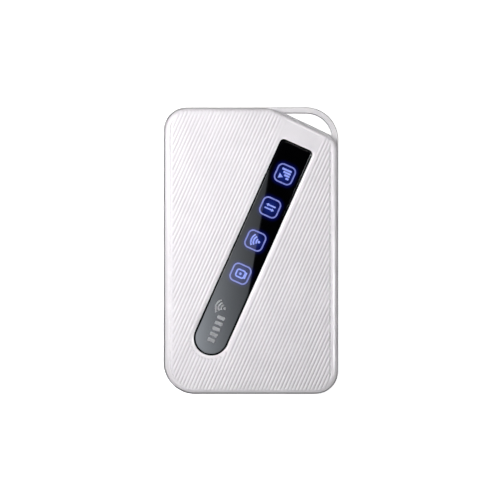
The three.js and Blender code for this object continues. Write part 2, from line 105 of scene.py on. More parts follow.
# %% Outline of edges and arcs
ARC = 18
CUT_POINT, CUT_FALL = np.array([13.6, 46.18]), np.radians(25.6)
CUT = np.array([np.cos(CUT_FALL), -np.sin(CUT_FALL)])
CUT_NORMAL = np.array([-CUT[1], CUT[0]])
STRAP_RADIUS = 11.3
BAND_RADII = [8.1, STRAP_RADIUS, 8.2, 11.0]
COVER_RADII = [8.1, 5.6, 4.5, 8.2, 11.0]


def rounded(points, directions, insets, radii, steps=ARC, straight=0):
    """Anticlockwise outline: every edge line moves to its left by its inset, corner i sits between
    edge i and the next one, and its arc is centre + radius * (cos a, sin a) while a turns from one
    edge's outward normal to the other's. `straight` more points are spread along each edge."""
    points, directions = np.array(points, float), np.array(directions, float)
    left = np.stack([-directions[:, 1], directions[:, 0]], 1)
    radii = np.array(radii, float)[:, None]
    a = points + left * (np.array(insets, float)[:, None] + radii)
    here = directions
    there = np.roll(directions, -1, 0)
    left_there = np.roll(left, -1, 0)
    b = np.roll(points, -1, 0) + left_there * (np.roll(insets, -1)[:, None] + radii)
    cross = here[:, 0] * there[:, 1] - here[:, 1] * there[:, 0]
    gap = b - a
    along = (gap[:, 0] * there[:, 1] - gap[:, 1] * there[:, 0]) / cross
    centre = a + here * along[:, None]
    start = np.arctan2(-left[:, 1], -left[:, 0])
    turn = (np.arctan2(-left_there[:, 1], -left_there[:, 0]) - start) % (2 * np.pi)
    angle = start[:, None] + turn[:, None] * np.linspace(0, 1, steps + 1)
    ring = centre[:, None] + radii[:, None] * np.stack([np.cos(angle), np.sin(angle)], -1)
    share = np.linspace(0, 1, straight + 2)[1:-1, None]
    edges = ring[:, -1:] + (np.roll(ring[:, :1], -1, 0) - ring[:, -1:]) * share
    return np.concatenate([ring, edges], 1).reshape(-1, 2)


def shrunk(radii, inset):
    """Corner radii of an outline moved inwards: each less the inset, but never under half a mm."""
    return np.maximum(np.array(radii, float) - inset, 0.5)


def band_line(inset):
    """The whole outline with the strap corner, moved inwards by the inset."""
    points = [(0, -half_length), (half_width, 0), (0, half_length), (-half_width, 0)]
    directions = [(1, 0), (0, 1), (-1, 0), (0, -1)]
    return rounded(points, directions, [inset] * 4, shrunk(BAND_RADII, inset), straight=40)


def cover_line(inset, cut_inset, side_inset=None):
    """The outline with its strap corner cut off. The cut and the two long sides may have insets of
    their own."""
    side = inset if side_inset is None else side_inset
    points = [(0, -half_length), (half_width, 0), CUT_POINT, (0, half_length), (-half_width, 0)]
    directions = [(1, 0), (0, 1), -CUT, (-1, 0), (0, -1)]
    insets = [inset, side, cut_inset, inset, side]
    return rounded(points, directions, insets, shrunk(COVER_RADII, side))


def segment_distance(points, ring):
    """Distance from every point to the closed outline: for each segment, the offset less its part
    along the segment, and the smallest of those lengths."""
    a, b = ring, np.roll(ring, -1, 0)
    run = b - a
    gap = points[..., None, :] - a
    t = np.clip((gap * run).sum(-1) / (run * run).sum(-1), 0, 1)
    return np.linalg.norm(gap - t[..., None] * run, axis=-1).min(-1)


def smooth(t):
    """0 up to t = 0, 1 from t = 1, and t * t * (3 - 2 t) between."""
    t = np.clip(t, 0, 1)
    return t * t * (3 - 2 * t)


print("band outline", band_line(0).shape, "cover outline", cover_line(0.4, 0).shape)

# %% [markdown]
# ## Rows into a skin
# Every shell here is rows of matching points. The faces between them are one array of indices, so
# nothing is drawn by hand. Flat areas with holes are the one thing that rows can't do, and there
# the flat region is cut into triangles. Joining both and welding the seams gives a closed solid.

# %% Skins, flats and pieces
def rows_at(lines, heights):
    """Stacks outlines (n, 2) at their heights into rows (m, n, 3)."""
    lines = np.array(lines)
    z = np.broadcast_to(np.array(heights, float)[:, None, None], (*lines.shape[:2], 1))
    return np.concatenate([lines, z], 2)


def skin(rows, around=True, loop=False):
    """Quads between neighbouring rows and columns: point (r, c) has the index r * columns + c."""
    m, n = rows.shape[:2]
    r = np.arange(m if loop else m - 1)[:, None]
    c = np.arange(n if around else n - 1)[None, :]
    r2, c2 = (r + 1) % m, (c + 1) % n
    faces = np.stack([r * n + c, r * n + c2, r2 * n + c2, r2 * n + c], -1)
    return rows.reshape(-1, 3), faces.reshape(-1, 4).tolist()


def flat(loops, z):
    """Triangles over the flat region inside the first loop and outside the others."""
    rings = [np.column_stack([loop, np.full(len(loop), z)]) for loop in loops]
    return np.concatenate(rings), [list(t) for t in tessellate_polygon([r.tolist() for r in rings])]


def quarter(inset, z, edge, steps=8, up=1):
    """A quarter round from a wall to a flat: inset + edge (1 - cos a), z + edge sin a."""
    a = np.linspace(0, np.pi / 2, steps + 1)
    return inset + edge * (1 - np.cos(a)), z + up * (edge * np.sin(a) - edge)


def joined(parts):
    """Several (points, faces) as one, with each part's indices moved past the ones before."""
    starts = np.cumsum([0] + [len(p) for p, _ in parts[:-1]])
    faces = [[i + s for i in f] for s, (_, fs) in zip(starts.tolist(), parts) for f in fs]
    return np.concatenate([p for p, _ in parts]), faces


def welded(name, parts):
    """A mesh from parts in millimetres, its seams welded and its faces outwards, and the number of
    edges that don't have two faces."""
    points, faces = joined(parts)
    mesh = bpy.data.meshes.new(name)
    mesh.from_pydata((points * MM).tolist(), [], faces)
    shell = bmesh.new()
    shell.from_mesh(mesh)
    bmesh.ops.remove_doubles(shell, verts=shell.verts, dist=2e-6)
    bmesh.ops.recalc_face_normals(shell, faces=shell.faces)
    gaps = sum(1 for e in shell.edges if len(e.link_faces) != 2)
    shell.to_mesh(mesh)
    shell.free()
    return mesh, gaps


def softened(mesh, sharp):
    """Smooth shading, with creases kept where faces meet at more than `sharp` degrees."""
    mesh.shade_smooth()
    mesh.set_sharp_from_angle(angle=np.radians(sharp))


def shown(name, mesh):
    """An object for a mesh, in the scene."""
    thing = bpy.data.objects.new(name, mesh)
    bpy.context.scene.collection.objects.link(thing)
    return thing


def piece(name, parts, body, finish, stands_for=(), sharp=32):
    """One finished object from its parts, riding on its body."""
    mesh, gaps = welded(name, parts)
    softened(mesh, sharp)
    mesh.materials.append(finish)
    thing = shown(name, mesh)
    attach(thing, body)
    if stands_for:
        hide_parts(*stands_for)
    print(name, len(mesh.polygons), "faces,", gaps, "open edges")
    return thing


def carved(thing, tools, sharp=32):
    """Takes closed tools (points, faces) out of a piece with one exact boolean."""
    mesh, _ = welded("tool", tools)
    tool = shown("tool", mesh)
    cut = thing.modifiers.new("cut", "BOOLEAN")
    cut.operation, cut.solver, cut.object = "DIFFERENCE", "EXACT", tool
    graph = bpy.context.evaluated_depsgraph_get()
    result = bpy.data.meshes.new_from_object(thing.evaluated_get(graph), depsgraph=graph)
    thing.modifiers.clear()
    old, thing.data = thing.data, result
    result.name = thing.name
    bpy.data.meshes.remove(old)
    bpy.data.objects.remove(tool)
    bpy.data.meshes.remove(mesh)
    softened(result, sharp)
    print(thing.name, "carved:", len(result.polygons), "faces")


def plate(line, bottom, top):
    """A flat plate from one closed outline (n, 2): an upright wall and two flats."""
    rows = rows_at([line, line], [bottom, top])
    return [skin(rows), flat([line], bottom), flat([line], top)]


def slab(line, bottom, top, foot=0.2, brim=0.2, steps=4, guard=0.15):
    """A plate from an outline function of inset, with quarter rounds at foot and brim. A narrow
    guard row keeps the flats' shading flat."""
    lower = quarter(0, bottom, foot, steps, -1)
    upper = quarter(0, top, brim, steps)
    insets = np.r_[foot + guard, lower[0][::-1], upper[0], brim + guard]
    heights = np.r_[bottom, lower[1][::-1], upper[1], top]
    rows = rows_at([line(i) for i in insets], heights)
    return [skin(rows), flat([rows[0, :, :2]], bottom), flat([rows[-1, :, :2]], top)]


def oblong(width, length, radius, centre=(0, 0), steps=8):
    """An outline function for a rounded rectangle."""
    w, h = width / 2, length / 2
    points = np.array([(0, -h), (w, 0), (0, h), (-w, 0)]) + centre
    directions = [(1, 0), (0, 1), (-1, 0), (0, -1)]
    return lambda inset: rounded(points, directions, [inset] * 4, [max(radius - inset, 0.02)] * 4, steps)


print("a test slab has", sum(len(faces) for _, faces in slab(oblong(4, 6, 1), 0, 1)), "faces")

# %% [markdown]
# ## Plastic finishes
# The covers are white ABS moulded against a lightly blasted tool: a soft gloss, a faint unevenness
# of colour, and a grain far finer than a rib. The ribs are blasted more, so they are satin. A
# picture of plastic would do for one view only. Noise on object coordinates holds at any distance,
# so each finish is one base tone, a slow drift of colour, a drift of gloss, and a grain in the bump.

# %% Node helpers
def surface(name, **sockets):
    """A new material. Constant values go straight on the shader's own sockets."""
    finish = bpy.data.materials.new(name)
    finish.use_nodes = True
    shader = finish.node_tree.nodes["Principled BSDF"]
    for key, value in sockets.items():
        shader.inputs[key.replace("_", " ")].default_value = value
    return finish, finish.node_tree.nodes, finish.node_tree.links, shader


def place(nodes, links, stretch=(1, 1, 1), turn=0.0, shift=(0, 0, 0)):
    """Object coordinates in millimetres, turned about Z and stretched along the axes."""
    where = nodes.new("ShaderNodeTexCoord")
    mapping = nodes.new("ShaderNodeMapping")
    mapping.inputs["Scale"].default_value = [s / MM for s in stretch]
    mapping.inputs["Rotation"].default_value = (0, 0, turn)
    mapping.inputs["Location"].default_value = shift
    links.new(where.outputs["Object"], mapping.inputs["Vector"])
    return mapping.outputs["Vector"]


def noise(nodes, links, vector, size, detail=2.0, rough=0.5):
    """Smooth noise whose blobs are about `size` millimetres."""
    node = nodes.new("ShaderNodeTexNoise")
    node.inputs["Scale"].default_value = 1 / size
    node.inputs["Detail"].default_value = detail
    node.inputs["Roughness"].default_value = rough
    links.new(vector, node.inputs["Vector"])
    return node.outputs["Fac"]


def ranged(nodes, links, value, low_end, high_end, start=0.3, stop=0.7):
    """Stretches a value from start..stop to low_end..high_end."""
    node = nodes.new("ShaderNodeMapRange")
    for key, number in zip(("From Min", "From Max", "To Min", "To Max"), (start, stop, low_end, high_end)):
        node.inputs[key].default_value = number
    links.new(value, node.inputs["Value"])
    return node.outputs["Result"]


def tones(nodes, links, value, stops):
    """A colour ramp with stops (place, colour)."""
    node = nodes.new("ShaderNodeValToRGB")
    ramp = node.color_ramp
    while len(ramp.elements) < len(stops):
        ramp.elements.new(0.5)
    for element, (where, colour) in zip(ramp.elements, stops):
        element.position = where
        element.color = (*colour, 1)
    links.new(value, node.inputs["Fac"])
    return node.outputs["Color"]


def math(nodes, links, kind, *values):
    """One Math node; numbers go on its sockets and outputs are linked."""
    node = nodes.new("ShaderNodeMath")
    node.operation = kind
    for socket, value in zip(node.inputs, values):
        if isinstance(value, (int, float)):
            socket.default_value = value
        else:
            links.new(value, socket)
    return node.outputs["Value"]


def length_of(nodes, links, x, y):
    """The square root of x * x + y * y."""
    squares = [math(nodes, links, "MULTIPLY", side, side) for side in (x, y)]
    return math(nodes, links, "SQRT", math(nodes, links, "ADD", *squares))


def box_distance(nodes, links, offsets, sides, corner):
    """Distance from a rounded rectangle round zero: the length of what (|x| - w, |y| - h) has above
    zero, less the corner radius."""
    arms = []
    for offset, side in zip(offsets, sides):
        past = math(nodes, links, "SUBTRACT", math(nodes, links, "ABSOLUTE", offset), side / 2 - corner)
        arms.append(math(nodes, links, "MAXIMUM", past, 0.0))
    return math(nodes, links, "SUBTRACT", length_of(nodes, links, *arms), corner)


def bumped(nodes, links, shader, height, depth, strength=1.0):
    """Bump of the given depth in millimetres from a height of 0 to 1."""
    node = nodes.new("ShaderNodeBump")
    node.inputs["Strength"].default_value = strength
    node.inputs["Distance"].default_value = depth * MM
    links.new(height, node.inputs["Height"])
    links.new(node.outputs["Normal"], shader.inputs["Normal"])


def moulded(name, dark, light, gloss, grain, depth, drift=9.0, **sockets):
    """A moulded plastic: colour drifts between two tones over `drift` mm, roughness between the two
    numbers of `gloss`, and a grain of the given size and depth."""
    finish, nodes, links, shader = surface(name, **sockets)
    vector = place(nodes, links)
    slow = noise(nodes, links, vector, drift, 3)
    links.new(tones(nodes, links, slow, [(0.35, dark), (0.65, light)]), shader.inputs["Base Color"])
    patch = noise(nodes, links, vector, drift / 3, 4, 0.6)
    links.new(ranged(nodes, links, patch, *gloss), shader.inputs["Roughness"])
    bumped(nodes, links, shader, noise(nodes, links, vector, grain, 2), depth)
    return finish


white_gloss = moulded("white_gloss_abs", (0.80, 0.768, 0.80), (0.84, 0.808, 0.84), (0.28, 0.36), 0.22, 0.0015,
                      Coat_Weight=0.25, Coat_Roughness=0.22)
white_satin = moulded("white_satin_abs", (0.80, 0.770, 0.80), (0.84, 0.810, 0.84), (0.55, 0.66), 0.22, 0.002,
                      Specular_IOR_Level=0.2)
white_blasted = moulded("white_blasted_abs", (0.79, 0.77, 0.79), (0.83, 0.81, 0.83), (0.44, 0.56), 0.28,
                        0.008)
graphite = moulded("graphite_pc_abs", (0.035, 0.037, 0.041), (0.055, 0.058, 0.064), (0.45, 0.62), 0.25, 0.012)
black_plastic = moulded("black_lcp", (0.010, 0.010, 0.012), (0.022, 0.022, 0.025), (0.35, 0.5), 0.2, 0.006)
foam = moulded("black_foam", (0.008, 0.008, 0.009), (0.03, 0.03, 0.032), (0.85, 0.98), 0.12, 0.05, drift=0.5)
frosted = moulded("frosted_guide", (0.45, 0.55, 0.85), (0.62, 0.7, 0.92), (0.5, 0.62), 0.15, 0.01,
                  Subsurface_Weight=0.3)
print("moulded finishes", 7)

# %% [markdown]
# The side band is plastic sprayed with fine silver paint. Real flakes tilt a little each way and
# glint one by one. A metal would be too dark between its reflections, so the paint is only slightly
# metallic and fairly matt, with a cell pattern of flakes that shifts tone and gloss, under a thin
# clear coat.

# %% Silver paint and metals
def silver_paint():
    """Tone is 35 % flake and 65 % slow drift; gloss and bump follow the flakes."""
    finish, nodes, links, shader = surface("silver_paint", Metallic=0.12, Coat_Weight=0.1, Coat_Roughness=0.3)
    vector = place(nodes, links)
    cells = nodes.new("ShaderNodeTexVoronoi")
    cells.inputs["Scale"].default_value = 1 / 0.09
    links.new(vector, cells.inputs["Vector"])
    glint = nodes.new("ShaderNodeSeparateColor")
    links.new(cells.outputs["Color"], glint.inputs["Color"])
    flake = glint.outputs["Red"]
    slow = noise(nodes, links, vector, 12, 2)
    mixed = math(nodes, links, "MULTIPLY_ADD", flake, 0.35, math(nodes, links, "MULTIPLY", slow, 0.65))
    links.new(tones(nodes, links, mixed, [(0.2, (0.50, 0.485, 0.50)), (0.8, (0.58, 0.565, 0.58))]),
              shader.inputs["Base Color"])
    links.new(ranged(nodes, links, flake, 0.40, 0.54, 0, 1), shader.inputs["Roughness"])
    bumped(nodes, links, shader, flake, 0.0015, 0.5)
    return finish


def metal(name, dark, light, gloss, brush=(1, 1, 1), turn=0.0, depth=0.002, grain=0.3):
    """Rolled or plated metal: tone, gloss and scratches stretched along the rolling direction."""
    finish, nodes, links, shader = surface(name, Metallic=1.0)
    lines = noise(nodes, links, place(nodes, links, brush, turn), grain, 4, 0.65)
    stain = noise(nodes, links, place(nodes, links), 3.0, 3)
    links.new(tones(nodes, links, stain, [(0.3, dark), (0.7, light)]), shader.inputs["Base Color"])
    links.new(ranged(nodes, links, lines, *gloss), shader.inputs["Roughness"])
    bumped(nodes, links, shader, lines, depth)
    return finish


silver = silver_paint()
tinned_steel = metal("tinned_steel", (0.55, 0.56, 0.58), (0.70, 0.71, 0.73), (0.24, 0.40), (1, 0.08, 1))
screw_steel = metal("screw_steel", (0.42, 0.43, 0.45), (0.62, 0.63, 0.66), (0.2, 0.36), (1, 1, 0.2))
gold_plate = metal("gold_plate", (0.75, 0.55, 0.22), (0.92, 0.71, 0.33), (0.16, 0.30), (0.3, 1, 1))
print("metals", 4)

# %% [markdown]
# ## The board, the pack, the card and the sticker
# These are seen only when the door is off. A circuit board is green lacquer over copper: the traces
# stand a little proud and show as a lighter green. A brick pattern makes the bus of parallel traces
# and a cell pattern the vias. The pack is shrink film with a printed panel, kept free of words.

# %% Board, pack, card and sticker
def board_lacquer():
    """Bricks turned by 45 degrees for the traces, and a dot wherever a cell's centre is near."""
    finish, nodes, links, shader = surface("board_lacquer", Coat_Weight=0.6, Coat_Roughness=0.12)
    vector = place(nodes, links)
    traces = nodes.new("ShaderNodeTexBrick")
    traces.inputs["Scale"].default_value = 0.5
    traces.inputs["Mortar Size"].default_value = 0.035
    traces.inputs["Color1"].default_value = (0.012, 0.085, 0.035, 1)
    traces.inputs["Color2"].default_value = (0.016, 0.10, 0.042, 1)
    traces.inputs["Mortar"].default_value = (0.03, 0.17, 0.075, 1)
    links.new(place(nodes, links, turn=np.pi / 4), traces.inputs["Vector"])
    vias = nodes.new("ShaderNodeTexVoronoi")
    vias.inputs["Scale"].default_value = 1 / 2.4
    links.new(vector, vias.inputs["Vector"])
    dot = math(nodes, links, "LESS_THAN", vias.outputs["Distance"], 0.12)
    mix = nodes.new("ShaderNodeMix")
    mix.data_type = "RGBA"
    links.new(dot, mix.inputs["Factor"])
    links.new(traces.outputs["Color"], mix.inputs[6])
    mix.inputs[7].default_value = (0.55, 0.5, 0.3, 1)
    links.new(mix.outputs[2], shader.inputs["Base Color"])
    links.new(ranged(nodes, links, noise(nodes, links, vector, 2.0), 0.28, 0.42), shader.inputs["Roughness"])
    bumped(nodes, links, shader, math(nodes, links, "ADD", traces.outputs["Fac"], dot), 0.02)
    return finish


def frame_mask(nodes, links, centre, size, corner, soft=0.12):
    """1 inside a rounded rectangle seen along Z and 0 outside, over a soft edge."""
    where = nodes.new("ShaderNodeSeparateXYZ")
    links.new(place(nodes, links, shift=(-centre[0], -centre[1], 0)), where.inputs["Vector"])
    offsets = where.outputs["X"], where.outputs["Y"]
    distance = box_distance(nodes, links, offsets, size, corner)
    return ranged(nodes, links, distance, 1.0, 0.0, -soft / 2, soft / 2)


def printed(name, ground, ink, panels, gloss, grain, depth, **sockets):
    """A film or sheet with printed panels (centre, size, corner): ink where any panel is."""
    finish, nodes, links, shader = surface(name, **sockets)
    vector = place(nodes, links)
    mask = 0.0
    for centre, size, corner in panels:
        mask = math(nodes, links, "MAXIMUM", frame_mask(nodes, links, centre, size, corner), mask)
    mix = nodes.new("ShaderNodeMix")
    mix.data_type = "RGBA"
    links.new(mask, mix.inputs["Factor"])
    slow = noise(nodes, links, vector, 5.0, 3)
    faded = [tuple(0.86 * c for c in tone) for tone in (ground, ink)]
    links.new(tones(nodes, links, slow, [(0.3, faded[0]), (0.7, ground)]), mix.inputs[6])
    links.new(tones(nodes, links, slow, [(0.3, faded[1]), (0.7, ink)]), mix.inputs[7])
    links.new(mix.outputs[2], shader.inputs["Base Color"])
    fine = noise(nodes, links, vector, grain, 3)
    links.new(ranged(nodes, links, fine, *gloss), shader.inputs["Roughness"])
    bumped(nodes, links, shader, fine, depth)
    return finish


board_green = board_lacquer()
pack_panels = [((-2.1, -14), (38, 44), 1.5)]
pack_film = printed("pack_film", (0.025, 0.027, 0.032), (0.30, 0.31, 0.33), pack_panels, (0.3, 0.45), 0.6,
                    0.01)
card_pvc = printed("card_pvc", (0.74, 0.74, 0.72), (0.55, 0.62, 0.70), [((-16.5, 32), (9, 5), 0.8)],
                   (0.35, 0.5), 0.3, 0.004)
bar_sizes = [(0, 26), (-3, 20), (1, 28), (-5, 16)]
sticker_bars = [((dx - 3, -5 - 4.0 * i), (w, 1.1), 0.2) for i, (dx, w) in enumerate(bar_sizes)]
sticker = printed("sticker_paper", (0.74, 0.74, 0.72), (0.25, 0.25, 0.26), sticker_bars, (0.5, 0.65), 0.25,
                  0.006)
print("printed finishes", 4)

# %% [markdown]
# ## The window's own frame
# The window, the lamps and the ribs all run along one slanting line. Working in that line's own
# coordinates, w across it and s up along it, makes each of them a straight job. One turn and one
# shift then bring them to the body.

# %% Window frame
TILT = np.radians(24.1)
FOOT = np.array([-13.85, -30.27])
UP = np.array([np.sin(TILT), np.cos(TILT)])
ACROSS = np.array([np.cos(TILT), -np.sin(TILT)])
WINDOW_HALF, WINDOW_RISE, WINDOW_CORNER, WINDOW_SHIFT = 12.35 / 2, 73.5, 1.6, 0.11


def to_body(local):
    """(w, s) to (x, y): foot + w across + s up."""
    return FOOT + local[..., :1] * ACROSS + local[..., 1:2] * UP


def to_window(flat_points):
    """(x, y) to (w, s): the two dot products."""
    gap = flat_points - FOOT
    return np.stack([gap @ ACROSS, gap @ UP], -1)


def window_local(inset, foot_steps=36, corner_steps=8):
    """Half circle round the foot, then two small corners at the top end, anticlockwise."""
    half = WINDOW_HALF - inset
    corner = max(WINDOW_CORNER - inset, 0.3)
    rise = WINDOW_RISE - inset - corner
    foot = np.linspace(np.pi, 2 * np.pi, foot_steps + 1)
    right = np.linspace(0, np.pi / 2, corner_steps + 1)
    arcs = [(0, 0, half, foot), (half - corner, rise, corner, right),
            (corner - half, rise, corner, right + np.pi / 2)]
    ring = [np.stack([x + r * np.cos(a), y + r * np.sin(a)], 1) for x, y, r, a in arcs]
    return np.concatenate(ring) + np.array([WINDOW_SHIFT, 0])


def window_line(inset):
    """The window's outline on the body, moved inwards by the inset."""
    return to_body(window_local(inset))


print("window runs from", np.round(FOOT, 2), "to", np.round(to_body(np.array([0, WINDOW_RISE])), 2))

# %% [markdown]
# ## Front cover
# The real cover is one moulding: a plate with a rounded rim, a shallow valley inside the rim, a
# bevelled opening for the window, and ribs. Here the shell comes first, as rows of outlines from the
# inside wall over the rim and through the valley. The flat face is filled between the last row and
# the window's bevel. The valley runs along the two long sides and fades out before the ends.

# %% Front cover shell
FACE, ROOF, COVER_FOOT = 12.72, 11.4, 9.1
EDGE, SET_BACK = 1.5, 0.65
BEVEL, BEVEL_DROP = 0.85, 0.30
VALLEY_IN, VALLEY_SIDE, VALLEY_CUT, VALLEY_DEPTH, VALLEY_HALF = 2.7, 2.75, 1.6, 0.3, 0.6


def valley_line(t):
    """Outlines across the valley: t = -1 where the rim ends, 0 at the bottom, 1 at the face."""
    step = VALLEY_HALF * t
    end_step = step * (0.6 if t < 0 else 1)
    return cover_line(VALLEY_IN + end_step, VALLEY_CUT + step * 0.1, side_inset=VALLEY_SIDE + step)


def valley_share(points):
    """1 along the two long sides, 0 near the strap cut and towards the two ends."""
    from_cut = smooth(((CUT_POINT - points) @ CUT_NORMAL - 1.5) / 2.5)
    from_ends = smooth((half_length - 2.5 - np.abs(points[..., 1])) / 4.5)
    return from_cut * from_ends


edge_in, edge_up = quarter(SET_BACK, FACE, EDGE, 12)
roof_in, roof_up = quarter(SET_BACK + 1.5, ROOF, 1.2, 5)
insets = np.r_[SET_BACK + 2.9, roof_in[::-1], SET_BACK + 1.5, SET_BACK, SET_BACK, edge_in]
heights = np.r_[ROOF, roof_up[::-1], COVER_FOOT, COVER_FOOT, COVER_FOOT + 0.15, edge_up]
rim_rows = rows_at([cover_line(i, i - SET_BACK) for i in insets], heights)
valley_t = np.linspace(-1, 1, 15)
valley_rows = rows_at([valley_line(t) for t in valley_t], np.full(15, FACE))
dip = VALLEY_DEPTH * (0.5 + 0.5 * np.cos(np.pi * valley_t))
valley_rows[..., 2] -= dip[:, None] * valley_share(valley_rows[..., :2])
shell_rows = np.concatenate([rim_rows, valley_rows])

bevel_angle = np.linspace(0, 1, 6)
bevel_in = -BEVEL * (1 - bevel_angle)
bevel_up = FACE - BEVEL_DROP * bevel_angle ** 1.5
well_in = np.r_[-BEVEL - 0.3, bevel_in, 0, 1.2, 1.2, -1.2, -1.2]
well_up = np.r_[FACE, bevel_up, ROOF, ROOF, 10.5, 10.5, ROOF]
well_rows = rows_at([window_line(i) for i in well_in], well_up)
shell = [skin(shell_rows), skin(well_rows),
         flat([shell_rows[-1, :, :2], well_rows[0, :, :2]], FACE),
         flat([shell_rows[0, :, :2], well_rows[-1, :, :2]], ROOF)]
print("cover rows", shell_rows.shape[:2], "window well rows", well_rows.shape[:2])

# %% [markdown]
# ## Screw posts
# The cover is held by six screws that thread into posts under its face. A post is a thick tube: its
# section, up the outside and down the bore, is turned once about its axis.

# %% Screw posts
SCREWS = np.array([cad(f"chassis_screw_{i}") for i in range(1, 7)]).mean(1)[:, :2]


def turned(profile, centre, steps=32):
    """Turns (radius, z) points about an upright axis: (x + r cos a, y + r sin a, z)."""
    a = np.linspace(0, 2 * np.pi, steps, endpoint=False)
    r, z = np.array(profile, float).T
    ring = np.stack([np.cos(a), np.sin(a)], 1)
    spun = r[:, None, None] * ring + np.array(centre)
    return np.concatenate([spun, np.broadcast_to(z[:, None, None], (*spun.shape[:2], 1))], 2)


post_section = [(1.8, 9.3), (1.8, 11.7), (0.95, 11.7), (0.95, 9.3)]
posts = [skin(turned(post_section, xy), loop=True) for xy in SCREWS]
print("posts", len(posts))

# %% [markdown]
# ## Ribs
# A rib is a long rounded ridge. Carving grooves with booleans would be slow and fragile, and a bump
# map would lie flat at the edges, so each rib is a profile carried along its line: it follows the
# plate and sinks away at both ends, and the ribs below the window stop at its bevel. All ribs are
# one array: rib, step, profile. They are a piece of their own, because their finish is satin.

# %% Ribs
PITCH, FIRST_RIB, RIB_HEIGHT = 1.164, 0.965, 0.22
STEPS_ALONG, STEPS_ACROSS = 60, 9
END_RISE, FOOT_RISE = 0.4, 0.7
UNDER_WINDOW = (-7.1, 7.9)
PANEL_SIDE, PANEL_START, PANEL_FADE = -9.0, 70, 0.65


def face_height(points):
    """Height of the bare cover: flat inside, a quarter circle over the last EDGE mm, and the inner
    half of the valley, which is a half wave long."""
    d = np.clip(segment_distance(points, cover_line(SET_BACK, 0)), 0, EDGE)
    v = np.clip(segment_distance(points, rib_field) / VALLEY_HALF, 0, 1)
    valley = VALLEY_DEPTH * (0.5 + 0.5 * np.cos(np.pi * v)) * valley_share(points)
    return FACE - EDGE + np.sqrt(EDGE ** 2 - (EDGE - d) ** 2) - valley


rib_field = cover_line(1.25, 0.5, side_inset=VALLEY_SIDE)
field_local = to_window(rib_field)
rib_w = FIRST_RIB + PITCH * np.arange(-46, 44)
a, b = field_local, np.roll(field_local, -1, 0)
crosses = (a[:, 0] - rib_w[:, None]) * (b[:, 0] - rib_w[:, None]) < 0
where = a[:, 1] + (b[:, 1] - a[:, 1]) * (rib_w[:, None] - a[:, 0]) / (b[:, 0] - a[:, 0] + 1e-9)
start = np.where(crosses, where, np.inf).min(1)
stop = np.where(crosses, where, -np.inf).max(1)
rim = WINDOW_HALF + BEVEL
under_foot = -np.sqrt(np.clip((rim + 0.1) ** 2 - rib_w ** 2, 0, None))
below_window = (rib_w > UNDER_WINDOW[0]) & (rib_w < UNDER_WINDOW[1])
stop = np.where(below_window, np.minimum(stop, under_foot), stop)
kept = stop - start > 2.0
rib_w, start, stop, below_window = rib_w[kept], start[kept], stop[kept], below_window[kept]

along = 0.5 - 0.5 * np.cos(np.pi * np.linspace(0, 1, STEPS_ALONG))
s = start[:, None] + (stop - start)[:, None] * along
x = np.linspace(-1, 1, STEPS_ACROSS)
local = np.stack(np.broadcast_arrays(rib_w[:, None, None] + x * PITCH / 2, s[:, :, None]), -1)
flat_place = to_body(local)
base = face_height(flat_place)
middles = to_body(np.stack(np.broadcast_arrays(rib_w[:, None], s), -1))
rise = smooth(segment_distance(middles, rib_field) / END_RISE)
rise = np.where(below_window[:, None], rise * smooth((stop[:, None] - s) / FOOT_RISE), rise)
by_panel = ((rib_w > PANEL_SIDE) & (rib_w < UNDER_WINDOW[0]))[:, None]
rise = np.where(by_panel, rise * (1 - PANEL_FADE * smooth((s - PANEL_START) / 5)), rise)
crest = 1 - np.abs(x) ** 2.3
ridge = base + RIB_HEIGHT * rise[..., None] * crest - 0.02
top = np.concatenate([flat_place, ridge[..., None]], -1)
under = top[:, :, [-1, 0]] * 1.0
under[..., 2] = base[:, :, [-1, 0]] - 0.15
ribs = np.concatenate([top, under], 2)
count, m, n = ribs.shape[:3]
one = np.array(skin(ribs[0])[1])
offset = (np.arange(count) * m * n)[:, None, None]
caps = np.stack([np.arange(n)[::-1], (m - 1) * n + np.arange(n)])
rib_faces = (one + offset).reshape(-1, 4).tolist() + (caps + offset).reshape(-1, n).tolist()
print(count, "ribs, highest point", round(float(ribs[..., 2].max()), 3), "mm")

piece("front_shell", shell + posts, "body", white_gloss, ["front_cover"], sharp=40)
piece("rib_field", [(ribs.reshape(-1, 3), rib_faces)], "body", white_satin, sharp=40)

# %% [markdown]
# ## Window
# The window is a strip of tinted acrylic, black from behind, with a narrow rim that falls away so
# that it stays black when the face catches a reflection. The four lamps behind it bleed a little
# blue into the sheet round each icon. The glow is worked out from the distance to a rounded square
# that repeats up the strip.

# %% Window gloss
LAMP_FOOT, LAMP_PITCH, LAMP_SHIFT = 24.5, 12.6, 0.25
ICON_SIDE, ICON_CORNER, ICON_LINE = 6.8, 1.95, 0.52


